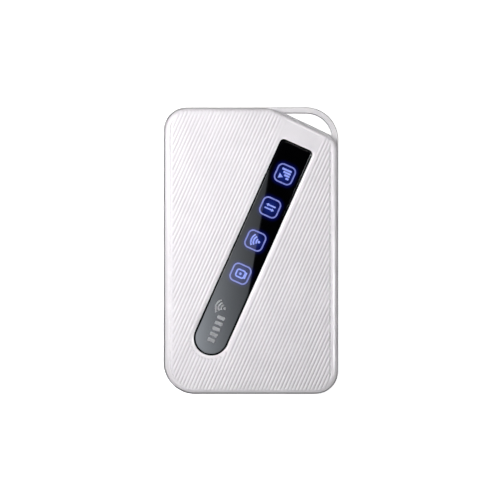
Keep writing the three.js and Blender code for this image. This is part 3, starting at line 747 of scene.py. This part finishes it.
def window_gloss():
    """Near black, with two emission ramps by distance: round the icon's square and round its middle."""
    finish, nodes, links, shader = surface("window_gloss", Specular_IOR_Level=0.5)
    where = nodes.new("ShaderNodeSeparateXYZ")
    shift = -(FOOT @ ACROSS) - LAMP_SHIFT, -(FOOT @ UP) - LAMP_FOOT, 0
    turned_vector = place(nodes, links, turn=TILT, shift=shift)
    links.new(turned_vector, where.inputs["Vector"])
    rise = where.outputs["Y"]
    nearest = math(nodes, links, "ROUND", math(nodes, links, "DIVIDE", rise, LAMP_PITCH))
    lamp = math(nodes, links, "MAXIMUM", math(nodes, links, "MINIMUM", nearest, 3.0), 0.0)
    local_y = math(nodes, links, "MULTIPLY_ADD", lamp, -LAMP_PITCH, rise)
    offsets = where.outputs["X"], local_y
    distance = box_distance(nodes, links, offsets, (ICON_SIDE, ICON_SIDE), ICON_CORNER)
    glow = tones(nodes, links, ranged(nodes, links, distance, 0, 1, -1.5, 1.5),
                 [(0.0, (0.001, 0.002, 0.030)), (0.42, (0.003, 0.006, 0.10)), (0.62, (0.001, 0.002, 0.040)),
                  (0.84, (0, 0, 0.006)), (1.0, (0, 0, 0))])
    reach = length_of(nodes, links, *offsets)
    bloom = tones(nodes, links, ranged(nodes, links, reach, 0, 1, 0, 3.2),
                  [(0.0, (0.010, 0.026, 0.20)), (0.5, (0.006, 0.014, 0.11)), (1.0, (0, 0, 0))])
    both = nodes.new("ShaderNodeMix")
    both.data_type, both.blend_type = "RGBA", "ADD"
    both.inputs["Factor"].default_value = 1.0
    links.new(glow, both.inputs[6])
    links.new(bloom, both.inputs[7])
    links.new(both.outputs[2], shader.inputs["Emission Color"])
    shader.inputs["Emission Strength"].default_value = 1.0
    vector = place(nodes, links)
    dust = noise(nodes, links, vector, 8.0, 3)
    links.new(tones(nodes, links, dust, [(0.3, (0.0004, 0.0004, 0.0007)), (0.7, (0.0008, 0.0008, 0.0012))]),
              shader.inputs["Base Color"])
    smear = noise(nodes, links, vector, 5.0, 4)
    links.new(ranged(nodes, links, smear, 0.010, 0.014), shader.inputs["Roughness"])
    return finish


gloss = window_gloss()
print("window finish", len(gloss.node_tree.nodes), "nodes")

# %% [markdown]
# ## Window strip
# The strip sits in the opening with a hair of a gap. A cube with a bevel would not follow the round
# foot, so it is rows of the window's own outline again: up the side, down-turned rim, flat top.

# %% Window strip
LENS_BOTTOM, LENS_TOP, LENS_GAP, LENS_RIM = 11.85, 12.45, 0.08, 0.6
rim_steps = [LENS_RIM - 0.03, LENS_RIM, LENS_RIM + 0.03, LENS_RIM + 0.3]
rim_drop = np.array([0.32, 0.29, 0.28, 0.015, 0, 0, 0])
lens_in = LENS_GAP + np.array([0.4, 0.1, 0, 0, 0.03, 0.06] + rim_steps)
lens_up = np.r_[LENS_BOTTOM, LENS_BOTTOM, LENS_BOTTOM + 0.1, LENS_TOP - rim_drop]
lens_rows = rows_at([window_line(i) for i in lens_in], lens_up)
lens_parts = [skin(lens_rows), flat([lens_rows[0, :, :2]], LENS_BOTTOM),
              flat([lens_rows[-1, :, :2]], LENS_TOP)]
piece("window_strip", lens_parts, "body", gloss, ["display_window"])

# %% [markdown]
# ## Lamp icons
# The icons are clear shapes left in the black print, lit from behind. Drawing them in the shader
# would tie them to one strip, so each is a thin plate of light let into the window's face: a frame,
# and a sign inside it. The signs are the everyday ones for signal, data, wireless and charge, and
# they read with the device turned a quarter, so each sign's own "up" is across the window.

# %% Icon light
def lamp_light(name, edge, core):
    """Light through a print: uneven by a few percent, by noise between the edge tone and the core tone."""
    finish, nodes, links, shader = surface(name, Roughness=0.08)
    shader.inputs["Base Color"].default_value = (0.002, 0.002, 0.01, 1)
    vector = place(nodes, links)
    patchy = noise(nodes, links, vector, 0.8, 3)
    links.new(tones(nodes, links, patchy, [(0.3, edge), (0.7, core)]), shader.inputs["Emission Color"])
    shader.inputs["Emission Strength"].default_value = 1.0
    links.new(ranged(nodes, links, patchy, 0.06, 0.1), shader.inputs["Roughness"])
    return finish


frame_light = lamp_light("lamp_frame_blue", (0.15, 0.18, 0.52), (0.23, 0.265, 0.66))
sign_light = lamp_light("lamp_sign_blue", (0.20, 0.27, 0.80), (0.34, 0.42, 0.98))
print("lamp finishes", frame_light.name, sign_light.name)

# %% [markdown]
# ## Icon shapes
# Every sign is made of a few outlines: bars, pieces of rings, arrows and discs. A font would bring
# letters with it, and a traced drawing would be a list of points, so each shape is a short formula.

# %% Icon shapes
ICON_BOTTOM, ICON_TOP = LENS_TOP - 0.06, LENS_TOP + 0.012


def hoop(outer, inner):
    """A square section carried round between two matching outlines."""
    heights = [ICON_BOTTOM, ICON_TOP, ICON_TOP, ICON_BOTTOM]
    return [skin(rows_at([outer, outer, inner, inner], heights), loop=True)]


def bar(x0, x1, y0, y1, corner=0.12):
    """A rounded rectangle between two pairs of sides."""
    return oblong(x1 - x0, y1 - y0, corner, ((x0 + x1) / 2, (y0 + y1) / 2), 3)(0)


def sector(centre, inner, outer, middle, spread, steps=12):
    """A piece of a ring: out along one radius, round, and back."""
    a = middle + np.linspace(-spread, spread, steps + 1)
    ring = np.stack([np.cos(a), np.sin(a)], 1)
    return np.concatenate([outer * ring, inner * ring[::-1]]) + np.array(centre)


def arrow(tail, head, y, way=1):
    """A straight arrow along w: seven corners."""
    tip = head + way * 0.25
    neck = head - way * 0.75
    ys = np.array([0.28, 0.28, 0.68, 0, -0.68, -0.28, -0.28])
    xs = np.array([tail, neck, neck, tip, neck, neck, tail])
    return np.stack([xs, y + ys], 1)


def disc(centre, radius, steps=20):
    """A circle: centre + radius * (cos a, sin a)."""
    a = np.linspace(0, 2 * np.pi, steps, endpoint=False)
    return np.array(centre) + radius * np.stack([np.cos(a), np.sin(a)], 1)


signal_sign = [bar(-1.85, 2.1, 1.35, 2.15), bar(-0.95, 2.1, 0.3, 1.1), bar(-0.1, 2.1, -0.75, 0.05),
               bar(0.85, 2.1, -1.8, -1.0), np.array([(-0.25, -1.35), (-2.05, -0.2), (-2.05, -2.3)])]
transfer_sign = [arrow(2.0, -1.7, 0.72, -1), arrow(-2.0, 1.7, -0.72)]
wave_rings = [(0.9, 1.6, 0.78), (2.0, 2.7, 0.78), (3.05, 3.65, 0.72)]
wireless_sign = [disc((1.55, 0), 0.5)] + [sector((1.75, 0), inner, outer, np.pi, spread)
                                          for inner, outer, spread in wave_rings]
charge_sign = [disc((0.0, 0), 0.5), bar(1.65, 2.4, -1.3, 1.3, 0.25)]
charge_case, CASE_LINE = oblong(3.9, 3.5, 1.1), 0.6
signs = {"charge": charge_sign, "wireless": wireless_sign, "transfer": transfer_sign, "signal": signal_sign}
print("signs", {sign_name: len(outlines) for sign_name, outlines in signs.items()})

# %% [markdown]
# ## Icons in the window
# Each icon is a frame and a sign, two pieces with one light each, so that the frame can be dimmer.
# They repeat up the strip at the lamps' pitch.

# %% Icons
SIGN_SIZE = 0.9
for number, (sign_name, outlines) in enumerate(signs.items()):
    centre = np.array([LAMP_SHIFT, LAMP_FOOT + LAMP_PITCH * number])
    square = oblong(ICON_SIDE, ICON_SIDE, ICON_CORNER)
    frame_parts = hoop(to_body(square(0) + centre), to_body(square(ICON_LINE) + centre))
    piece(f"{sign_name}_icon_frame", frame_parts, "body", frame_light)
    sign_parts = [part for line in outlines
                  for part in plate(to_body(SIGN_SIZE * line + centre), ICON_BOTTOM, ICON_TOP)]
    if sign_name == "charge":
        sign_parts += hoop(*(to_body(SIGN_SIZE * charge_case(inset) + centre) for inset in (0, CASE_LINE)))
    piece(f"{sign_name}_icon_sign", sign_parts, "body", sign_light)

# %% [markdown]
# ## Foot print
# The foot of the window carries a small pale print. Here it is plain: three arcs and a row of bars,
# with no words. Ink is a thin plate too, matt against the gloss.

# %% Foot print
ink = moulded("pale_ink", (0.26, 0.265, 0.28), (0.34, 0.345, 0.36), (0.4, 0.55), 0.1, 0.004, drift=1.2)
bars = [bar(-0.95, 1.7, 7.1 - 2.1 * i, 8.35 - 2.1 * i, 0.3) for i in range(5)]
arcs = [sector((0.2, 11.2), r, r + 0.6, np.pi, 0.8, 10) for r in (0.9, 1.9, 2.9)]
marks = [part for line in bars + arcs + [disc((0.2, 11.2), 0.5)]
         for part in plate(to_body(line), LENS_TOP - 0.06, LENS_TOP + 0.008)]
piece("foot_print", marks, "body", ink)

# %% [markdown]
# ## Side band and strap bar
# The band is a thick ring with rounded edges. At the strap corner it leaves the body and goes
# round a three-cornered opening. Where the cover sits on it, a narrow groove behind a thin lip makes
# the dark seam line. Its top and bottom are flats with two holes: the room for the chassis and the
# strap opening. Both openings and the outside are rows of outlines, like the cover.

# %% Band
BAND_FOOT, BAND_TOP = cad("mid_frame")[:, 2]
STRAP_BAR, BAND_EDGE = 2.1, 0.6
SEAM_LIP, SEAM_WALL, SEAM_DEPTH = 0.26, 0.70, 1.0


def strap_opening(grow, steps=30):
    """The opening's outline, `grow` mm larger all round: an arc of the strap's inner radius from
    where the cut line meets it to the top, then straight to where the cut line meets the top."""
    radius = STRAP_RADIUS - STRAP_BAR + grow
    centre = np.array([half_width, half_length]) - STRAP_RADIUS
    on_cut = CUT_POINT + CUT_NORMAL * (0.8 - grow)
    gap = on_cut - centre
    middle = gap @ CUT
    reach = np.sqrt(radius ** 2 - (gap @ gap - middle ** 2))
    meet = on_cut + CUT * (reach - middle)
    angle = np.linspace(np.arctan2(*(meet - centre)[::-1]), np.pi / 2, steps + 1)
    arc = centre + radius * np.stack([np.cos(angle), np.sin(angle)], 1)
    top = half_length - STRAP_BAR + grow
    corner = on_cut + CUT * ((top - on_cut[1]) / CUT[1])
    share = np.linspace(0, 1, 9)[1:-1, None]
    top_edge = arc[-1] + (corner - arc[-1]) * share
    return np.concatenate([arc, top_edge, corner[None], corner + (meet - corner) * share])


def ring_wall(line, edge, steps=6):
    """Rows down a wall with a quarter round at the foot and the top, and a guard row at each end."""
    lower = quarter(0, BAND_FOOT, edge, steps, -1)
    upper = quarter(0, BAND_TOP, edge, steps)
    insets = np.r_[edge + 0.08, lower[0][::-1], upper[0], edge + 0.08]
    heights = np.r_[BAND_FOOT, lower[1][::-1], upper[1], BAND_TOP]
    return rows_at([line(i) for i in insets], heights)


def seam_share(points):
    """1 along the body, where the cover sits on the band, and 0 along the free strap bar."""
    return smooth((1.4 - segment_distance(points, cover_line(SET_BACK, 0))) / 0.8)[None, :, None]


def outer_wall():
    """Rows up the outside. The top is a wide quarter round on the strap bar, and a narrower one with
    a shadow groove behind it along the body: a mix of both sets of rows by the seam's share."""
    lower = quarter(0, BAND_FOOT, BAND_EDGE, 7, -1)
    foot_in = np.r_[BAND_EDGE + 0.08, lower[0][::-1]]
    foot = rows_at([band_line(i) for i in foot_in], np.r_[BAND_FOOT, lower[1][::-1]])
    bar_in, bar_up = quarter(0, BAND_TOP, BAND_EDGE, 7)
    lip_in, lip_up = quarter(0, BAND_TOP, SEAM_LIP, 7)
    bar_rest = BAND_EDGE + np.array([0.03, 0.05, 0.10, 0.12, 0.2])
    groove_in = np.array([SEAM_LIP + 0.02, SEAM_LIP + 0.03, SEAM_WALL, SEAM_WALL + 0.01, BAND_EDGE + 0.2])
    groove_up = BAND_TOP - np.array([0, SEAM_DEPTH, SEAM_DEPTH, 0, 0])
    bar_top = rows_at([band_line(i) for i in np.r_[bar_in, bar_rest]], np.r_[bar_up, np.full(5, BAND_TOP)])
    grooved = rows_at([band_line(i) for i in np.r_[lip_in, groove_in]], np.r_[lip_up, groove_up])
    share = seam_share(band_line(0))
    return np.concatenate([foot, bar_top * (1 - share) + grooved * share])


outside = outer_wall()
opening = ring_wall(strap_opening, 0.45)
room = ring_wall(lambda i: cover_line(2.0 - i, 1.2 - i), 0.12, 2)
band_parts = [skin(outside), skin(opening), skin(room)]
for row, z in ((0, BAND_FOOT), (-1, BAND_TOP)):
    band_parts.append(flat([outside[row, :, :2], opening[row, :, :2], room[row, :, :2]], z))
band = piece("side_band", band_parts, "body", silver, ["mid_frame"], sharp=35)

# %% [markdown]
# ## Openings in the band
# The buttons, the charging port and the pin hole need openings in the band. Each is a plain tool
# taken out in one exact boolean, which is quicker here than fitting the outlines into the wall.

# %% Openings in the band
PORT = {"half": 3.75, "low": 5.45, "high": 8.1, "face": -half_length}
key_boxes = {key_name: cad(f"{key_name}_button") for key_name in ("power", "pairing")}
CONTROL_Z = key_boxes["power"][:, 2].mean()
keys = {"power": (key_boxes["power"][:, 1].mean(), 9.0), "pairing": (key_boxes["pairing"][:, 1].mean(), 5.0)}


def sideways(parts, centre_y, axis="x"):
    """Turns a plate lying flat so that its height runs along X (or Y), at the control height."""
    out = []
    for points, faces in parts:
        a, b, h = points.T
        placed = np.stack([h, b + centre_y, a + CONTROL_Z] if axis == "x" else [a + centre_y, h, b], 1)
        out.append((placed, faces))
    return out


def port_line(grow, steps=5):
    """The socket's outline across X and up Z: flat above, lower corners cut away."""
    half, low_z, high_z = PORT["half"], PORT["low"], PORT["high"]
    lean = np.array([-1.1, 1.3]) / np.hypot(1.1, 1.3)
    points = [(0, low_z), (half - 1.1, low_z), (half, 0), (0, high_z), (-half, 0), (-half, low_z + 1.3)]
    directions = [(1, 0), (-lean[0], lean[1]), (0, 1), (-1, 0), (0, -1), (-lean[0], -lean[1])]
    return rounded(points, directions, [-grow] * 6, [max(0.45 + grow, 0.12)] * 6, steps)


tools = []
for middle, length in keys.values():
    tools += sideways(slab(oblong(2.6, length + 0.4, 1.29), 27.0, 32.0, 0.02, 0.02, 1, 0.02), middle)
tools += sideways(plate(port_line(0.3), PORT["face"] - 1, PORT["face"] + 3.7), 0, "y")
tools += sideways(plate(disc((10.0, CONTROL_Z), 0.6, 24), PORT["face"] - 1, PORT["face"] + 3.8), 0, "y")
carved(band, tools, sharp=35)

# %% [markdown]
# ## Side keys
# A key is a long pill with a softly crowned face, on a flange that keeps it from falling out, with
# a stem that reaches the switch. The pill is a slab on its side: rows of shrinking outlines.

# %% Keys
key_face = key_boxes["power"][1, 0]
for key_name, (middle, length) in keys.items():
    cap_line = oblong(2.2, length, 1.09, steps=10)
    crown = np.linspace(0, 1, 6)
    cap_in = np.r_[0, 0, 0.05 + 0.5 * crown, 0.75]
    cap_up = np.r_[28.2, key_face - 0.3, key_face - 0.22 * (1 - crown) ** 2, key_face]
    cap_rows = rows_at([cap_line(i) for i in cap_in], cap_up)
    cap = [skin(cap_rows), flat([cap_rows[0, :, :2]], 28.2), flat([cap_rows[-1, :, :2]], key_face)]
    flange = slab(oblong(3.2, length + 2, 0.5), 27.6, 28.3, 0.08, 0.08, 2, 0.05)
    stem = slab(oblong(1.6, 2.0, 0.2), 26.9, 27.8, 0.08, 0.08, 2, 0.05)
    piece(f"{key_name}_cap", sideways(cap + flange + stem, middle), f"{key_name}_key",
          white_gloss, [f"{key_name}_button"])

# %% [markdown]
# ## Charging socket
# A socket is one strip of tinned steel folded round, with a plastic tongue inside. Its section is
# carried straight back into the body, then the inside comes forward again to leave a wall.

# %% Socket and tongue
def socket_shell():
    """The outline of each inset, from the rim back outside, then from the rim back inside."""
    lines = [port_line(g) for g in (-0.14, -0.02, 0, 0, -0.3, -0.3, -0.2, -0.14)]
    reach = PORT["face"] + np.array([0.4, 0.4, 0.46, 5.6, 5.2, 0.55, 0.42, 0.4])
    outer = rows_at(lines[:4], reach[:4])
    inner = rows_at(lines[4:], reach[4:])
    back = [flat([lines[3]], reach[3]), flat([lines[4]], reach[4])]
    return sideways([skin(outer), skin(inner)] + back, 0, "y")


piece("charging_socket", socket_shell(), "body", tinned_steel, ["usb_port_shell"])
tongue = oblong(3.5, 0.6, 0.12, (0, 7.2), 3)
tongue_rows = rows_at([tongue(i) for i in (0.12, 0, 0)], PORT["face"] + np.array([0.9, 1.02, 5.0]))
tongue_parts = [skin(tongue_rows), flat([tongue(0.12)], PORT["face"] + 0.9),
                flat([tongue(0)], PORT["face"] + 5.0)]
piece("charging_tongue", sideways(tongue_parts, 0, "y"), "body", black_plastic,
      ["usb_port_tongue"])

# %% [markdown]
# ## Battery door
# The back is a shallow tray with the same outline as the front cover and a deeper round. It is one
# run of rows, from the outside flat over the round and the rim to the inside floor, with short snap
# ribs and a nail notch.

# %% Battery door
DOOR_TOP = cad("battery_door")[1, 2]
DOOR_WALL = 1.2
outer_in, outer_up = quarter(SET_BACK, 0, 2.9, 12, -1)
inner_in, inner_up = quarter(SET_BACK + DOOR_WALL, DOOR_WALL, 1.5, 6, -1)
door_in = np.r_[SET_BACK + 3.25, outer_in[::-1], SET_BACK, SET_BACK + 0.12, SET_BACK + DOOR_WALL, inner_in,
                SET_BACK + 3.0]
door_up = np.r_[0, outer_up[::-1], DOOR_TOP - 0.12, DOOR_TOP, DOOR_TOP, inner_up, DOOR_WALL]
door_rows = rows_at([cover_line(i, i - SET_BACK) for i in door_in], door_up)
door_parts = [skin(door_rows), flat([door_rows[0, :, :2]], 0), flat([door_rows[-1, :, :2]], DOOR_WALL)]
rim_x = half_width - SET_BACK - DOOR_WALL
for y in (-28, -8, 16):
    for side in (-1, 1):
        snap = oblong(0.55, 6, 0.2, (side * (rim_x - 0.075), y), 3)
        door_parts += slab(snap, 2.6, DOOR_TOP - 0.1, 0.1, 0.1, 2, 0.05)
door = piece("back_door", door_parts, "door", white_blasted, ["battery_door"])
notch = joined(plate(disc((-34, DOOR_TOP + 2.3), 3.2, 48), rim_x + 0.4, rim_x + 2.0))
carved(door, [(notch[0][:, [2, 0, 1]], notch[1])])

# %% [markdown]
# ## Battery pack
# A flat cell in a moulded rim, wrapped in film. The slab has softly rounded edges all round, and
# four small windows at one end leave the contact pads bare.

# %% Pack
pack_low, pack_high = cad("battery_pack")
pack_centre, pack_size = (pack_low + pack_high)[:2] / 2, (pack_high - pack_low)[:2]
pack_line = oblong(*pack_size, 1.4, pack_centre, 8)
pack = piece("battery_pack_film", slab(pack_line, pack_low[2], pack_high[2], 0.7, 0.7, 6, 0.2), "battery",
             pack_film, ["battery_pack"])
windows = []
for pad_low, pad_high in (cad(f"battery_pad_{i}") for i in range(1, 5)):
    middle = (pad_low + pad_high) / 2
    outline = oblong(1.8, 2.2, 0.2, (middle[0], middle[1] + 0.85), 2)
    windows += slab(outline, pad_low[2] - 0.2, pad_high[2] + 0.2, 0.02, 0.02, 1, 0.02)
carved(pack, windows)

# %% [markdown]
# ## Finishes for the CAD pieces that stay
# The chassis, board, shields, switches and small parts already have the right shape, so they keep
# it and get a finish each. A flat grey would give them away as soon as the door comes off.

# %% Finishes on CAD pieces
stays = {
    "rear_chassis": graphite, "bay_label": sticker, "main_board": board_green, "sim_card": card_pvc,
    "sim_socket": tinned_steel, "battery_contact_block": black_plastic, "window_gasket": foam,
    "light_baffle": black_plastic, "modem_shield_can": tinned_steel, "wifi_shield_can": tinned_steel,
    "modem_chip": black_plastic, "wifi_chip": black_plastic, "main_antenna": gold_plate,
    "diversity_antenna": gold_plate, "wifi_antenna": gold_plate,
}
families = {"chassis_screw": screw_steel, "contact_blade": gold_plate, "battery_pad": gold_plate,
            "icon_light_guide": frosted, "icon_led": frosted, "switch_body": tinned_steel,
            "switch_plunger": black_plastic}
finished = 0
for node_name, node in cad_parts.items():
    finish = stays.get(node_name) or next((f for key, f in families.items() if key in node_name), None)
    if finish:
        node.data.materials.clear()
        node.data.materials.append(finish)
        finished += 1
print("CAD pieces finished", finished)

# %% [markdown]
# ## Table
# White goods are shot on a white sweep. The table lies lower than the device, so that the battery
# door has room to come off. It shines by itself, so it stays white without a light of its own, and it
# is hidden from bounced light, so it doesn't fill in the shadows between the ribs.

# %% Table
def stage_plane(name, corners, z, finish):
    mesh = bpy.data.meshes.new(name)
    points = [(x * MM, y * MM, z * MM) for x, y in corners]
    mesh.from_pydata(points, [], [list(range(len(points)))])
    mesh.materials.append(finish)
    thing = shown(name, mesh)
    thing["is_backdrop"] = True
    return thing


paper, paper_nodes, paper_links, paper_shader = surface("white_paper", Roughness=0.9)
fibre = noise(paper_nodes, paper_links, place(paper_nodes, paper_links), 4.0, 3)
paper_links.new(tones(paper_nodes, paper_links, fibre, [(0.3, (0.86, 0.86, 0.86)), (0.7, (0.9, 0.9, 0.9))]),
                paper_shader.inputs["Base Color"])
paper_shader.inputs["Emission Color"].default_value = (1, 1, 1, 1)
paper_shader.inputs["Emission Strength"].default_value = 1.0
TABLE_HALF, TABLE_DROP = 4000, -40.0
sweep = [(x * TABLE_HALF, y * TABLE_HALF) for x, y in ((-1, -1), (1, -1), (1, 1), (-1, 1))]
table = stage_plane("table", sweep, TABLE_DROP, paper)
table.visible_diffuse = False
table.visible_glossy = False
print("table", -TABLE_DROP, "mm under the door")

# %% [markdown]
# ## World
# The world is a pale lower half and a brighter ring at the horizon, and dark overhead: the flat face
# doesn't care, but the glossy window looks straight up, and a dark sky keeps it black. It is
# brighter to the right and the front, which lights the band on those sides. The camera sees white.

# %% World
WORLD_LEAN, WORLD_SIDES = 0.9, (0.25, 3.0)
world = bpy.data.worlds.new("studio")
bpy.context.scene.world = world
world.use_nodes = True
sky, sky_links = world.node_tree.nodes, world.node_tree.links
direction = sky.new("ShaderNodeTexCoord")
axes = sky.new("ShaderNodeSeparateXYZ")
sky_links.new(direction.outputs["Generated"], axes.inputs["Vector"])
height = ranged(sky, sky_links, axes.outputs["Z"], 0, 1, -1, 1)
ring_tones = tones(sky, sky_links, height, [(0.0, (0.20, 0.20, 0.20)), (0.36, (0.34, 0.34, 0.34)),
                                            (0.48, (0.85, 0.85, 0.85)), (0.57, (0.60, 0.60, 0.60)),
                                            (0.66, (0.0, 0.0, 0.0))])
forward = math(sky, sky_links, "MULTIPLY", axes.outputs["Y"], WORLD_LEAN)
lean = math(sky, sky_links, "SUBTRACT", axes.outputs["X"], forward)
side = ranged(sky, sky_links, lean, *WORLD_SIDES, -1, 1)
ring = sky.new("ShaderNodeVectorMath")
ring.operation = "SCALE"
sky_links.new(ring_tones, ring.inputs[0])
sky_links.new(side, ring.inputs["Scale"])
behind = sky.new("ShaderNodeLightPath")
pick = sky.new("ShaderNodeMix")
pick.data_type = "RGBA"
sky_links.new(behind.outputs["Is Camera Ray"], pick.inputs["Factor"])
sky_links.new(ring.outputs["Vector"], pick.inputs[6])
pick.inputs[7].default_value = (1, 1, 1, 1)
sky_links.new(pick.outputs[2], sky["Background"].inputs["Color"])
print("world", len(sky), "nodes")

# %% [markdown]
# ## Lights
# One soft round light is close, up and to the left, so the left of the cover is brighter than the
# right. Three long strips show in reflections only: they run along the right side, the strap cut and
# the bottom, where they draw bright lines on the rounded rim without lighting the face.

# %% Lights
AIM_POINT = (0, 0, 10)


def area_light(name, place_mm, size_mm, watts, shape="RECTANGLE"):
    """A light that faces the device, at a place and of a size in millimetres."""
    data = bpy.data.lights.new(name, "AREA")
    data.shape = shape
    data.size, data.size_y = size_mm[0] * MM, size_mm[1] * MM
    data.energy = watts
    lamp = bpy.data.objects.new(name, data)
    here, there = np.array(place_mm, float), np.array(AIM_POINT, float)
    lamp.location = here * MM
    lamp.rotation_mode = "QUATERNION"
    lamp.rotation_quaternion = Vector(there - here).to_track_quat("-Z", "Y")
    bpy.context.scene.collection.objects.link(lamp)
    return lamp


area_light("key", (-116, 55, 206), (80, 80), 0.555, "ELLIPSE")
strips = [area_light("right_strip", (270, -30, 320), (50, 320), 1.6),
          area_light("cut_strip", (90, 190, 370), (320, 50), 1.3),
          area_light("bottom_strip", (0, -290, 330), (320, 50), 0.9)]
for strip in strips:
    strip.visible_diffuse = False
print("lights", 1 + len(strips))

# %% [markdown]
# ## Reflection card
# One pale card above the camera gives the window its slanting grey reflection. A mirror shows the
# card at its own place scaled by (1 + card height / camera height), so the edge is drawn on the
# window first and then scaled up. The card is brighter to the left, by a power of x.

# %% Reflection card
CARD_RISE, CARD_FALL, CARD_LEVEL, CARD_LIMIT = 1300.0, 0.9657, 1.65, 9.0
card, card_nodes, card_links, card_shader = surface("card_light", Roughness=1.0)
across_card = card_nodes.new("ShaderNodeSeparateXYZ")
card_links.new(place(card_nodes, card_links), across_card.inputs["Vector"])
fall = math(card_nodes, card_links, "POWER", CARD_FALL, across_card.outputs["X"])
level = math(card_nodes, card_links, "MULTIPLY", fall, CARD_LEVEL)
shade = math(card_nodes, card_links, "MINIMUM", level, CARD_LIMIT)
card_shader.inputs["Base Color"].default_value = (0, 0, 0, 1)
card_shader.inputs["Emission Color"].default_value = (0.86, 0.92, 1.0, 1)
card_links.new(shade, card_shader.inputs["Emission Strength"])
mirror = 1 + CARD_RISE / camera_rise
edge_low, edge_high = to_body(np.array([[11.8, -5.0], [-8.6, 74.0]]))
corners = np.array([edge_low, edge_high, (-32, 75), (-32, -60), (0, -60)])
card_corners = AIM + (corners - AIM) * mirror
stage_plane("card", card_corners, CARD_RISE, card)
print("card corners", np.round(card_corners, 0).tolist())

# %% [markdown]
# ## Sizes and the last line
# The looks are meant to keep the CAD model's size, and both boxes are printed.

# %% Finish
shown_box = [list(corner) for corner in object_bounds()]
for name, box in (("CAD", cad_box), ("visual", shown_box)):
    print(name, "box", np.round(np.array(box) / MM, 2).tolist())
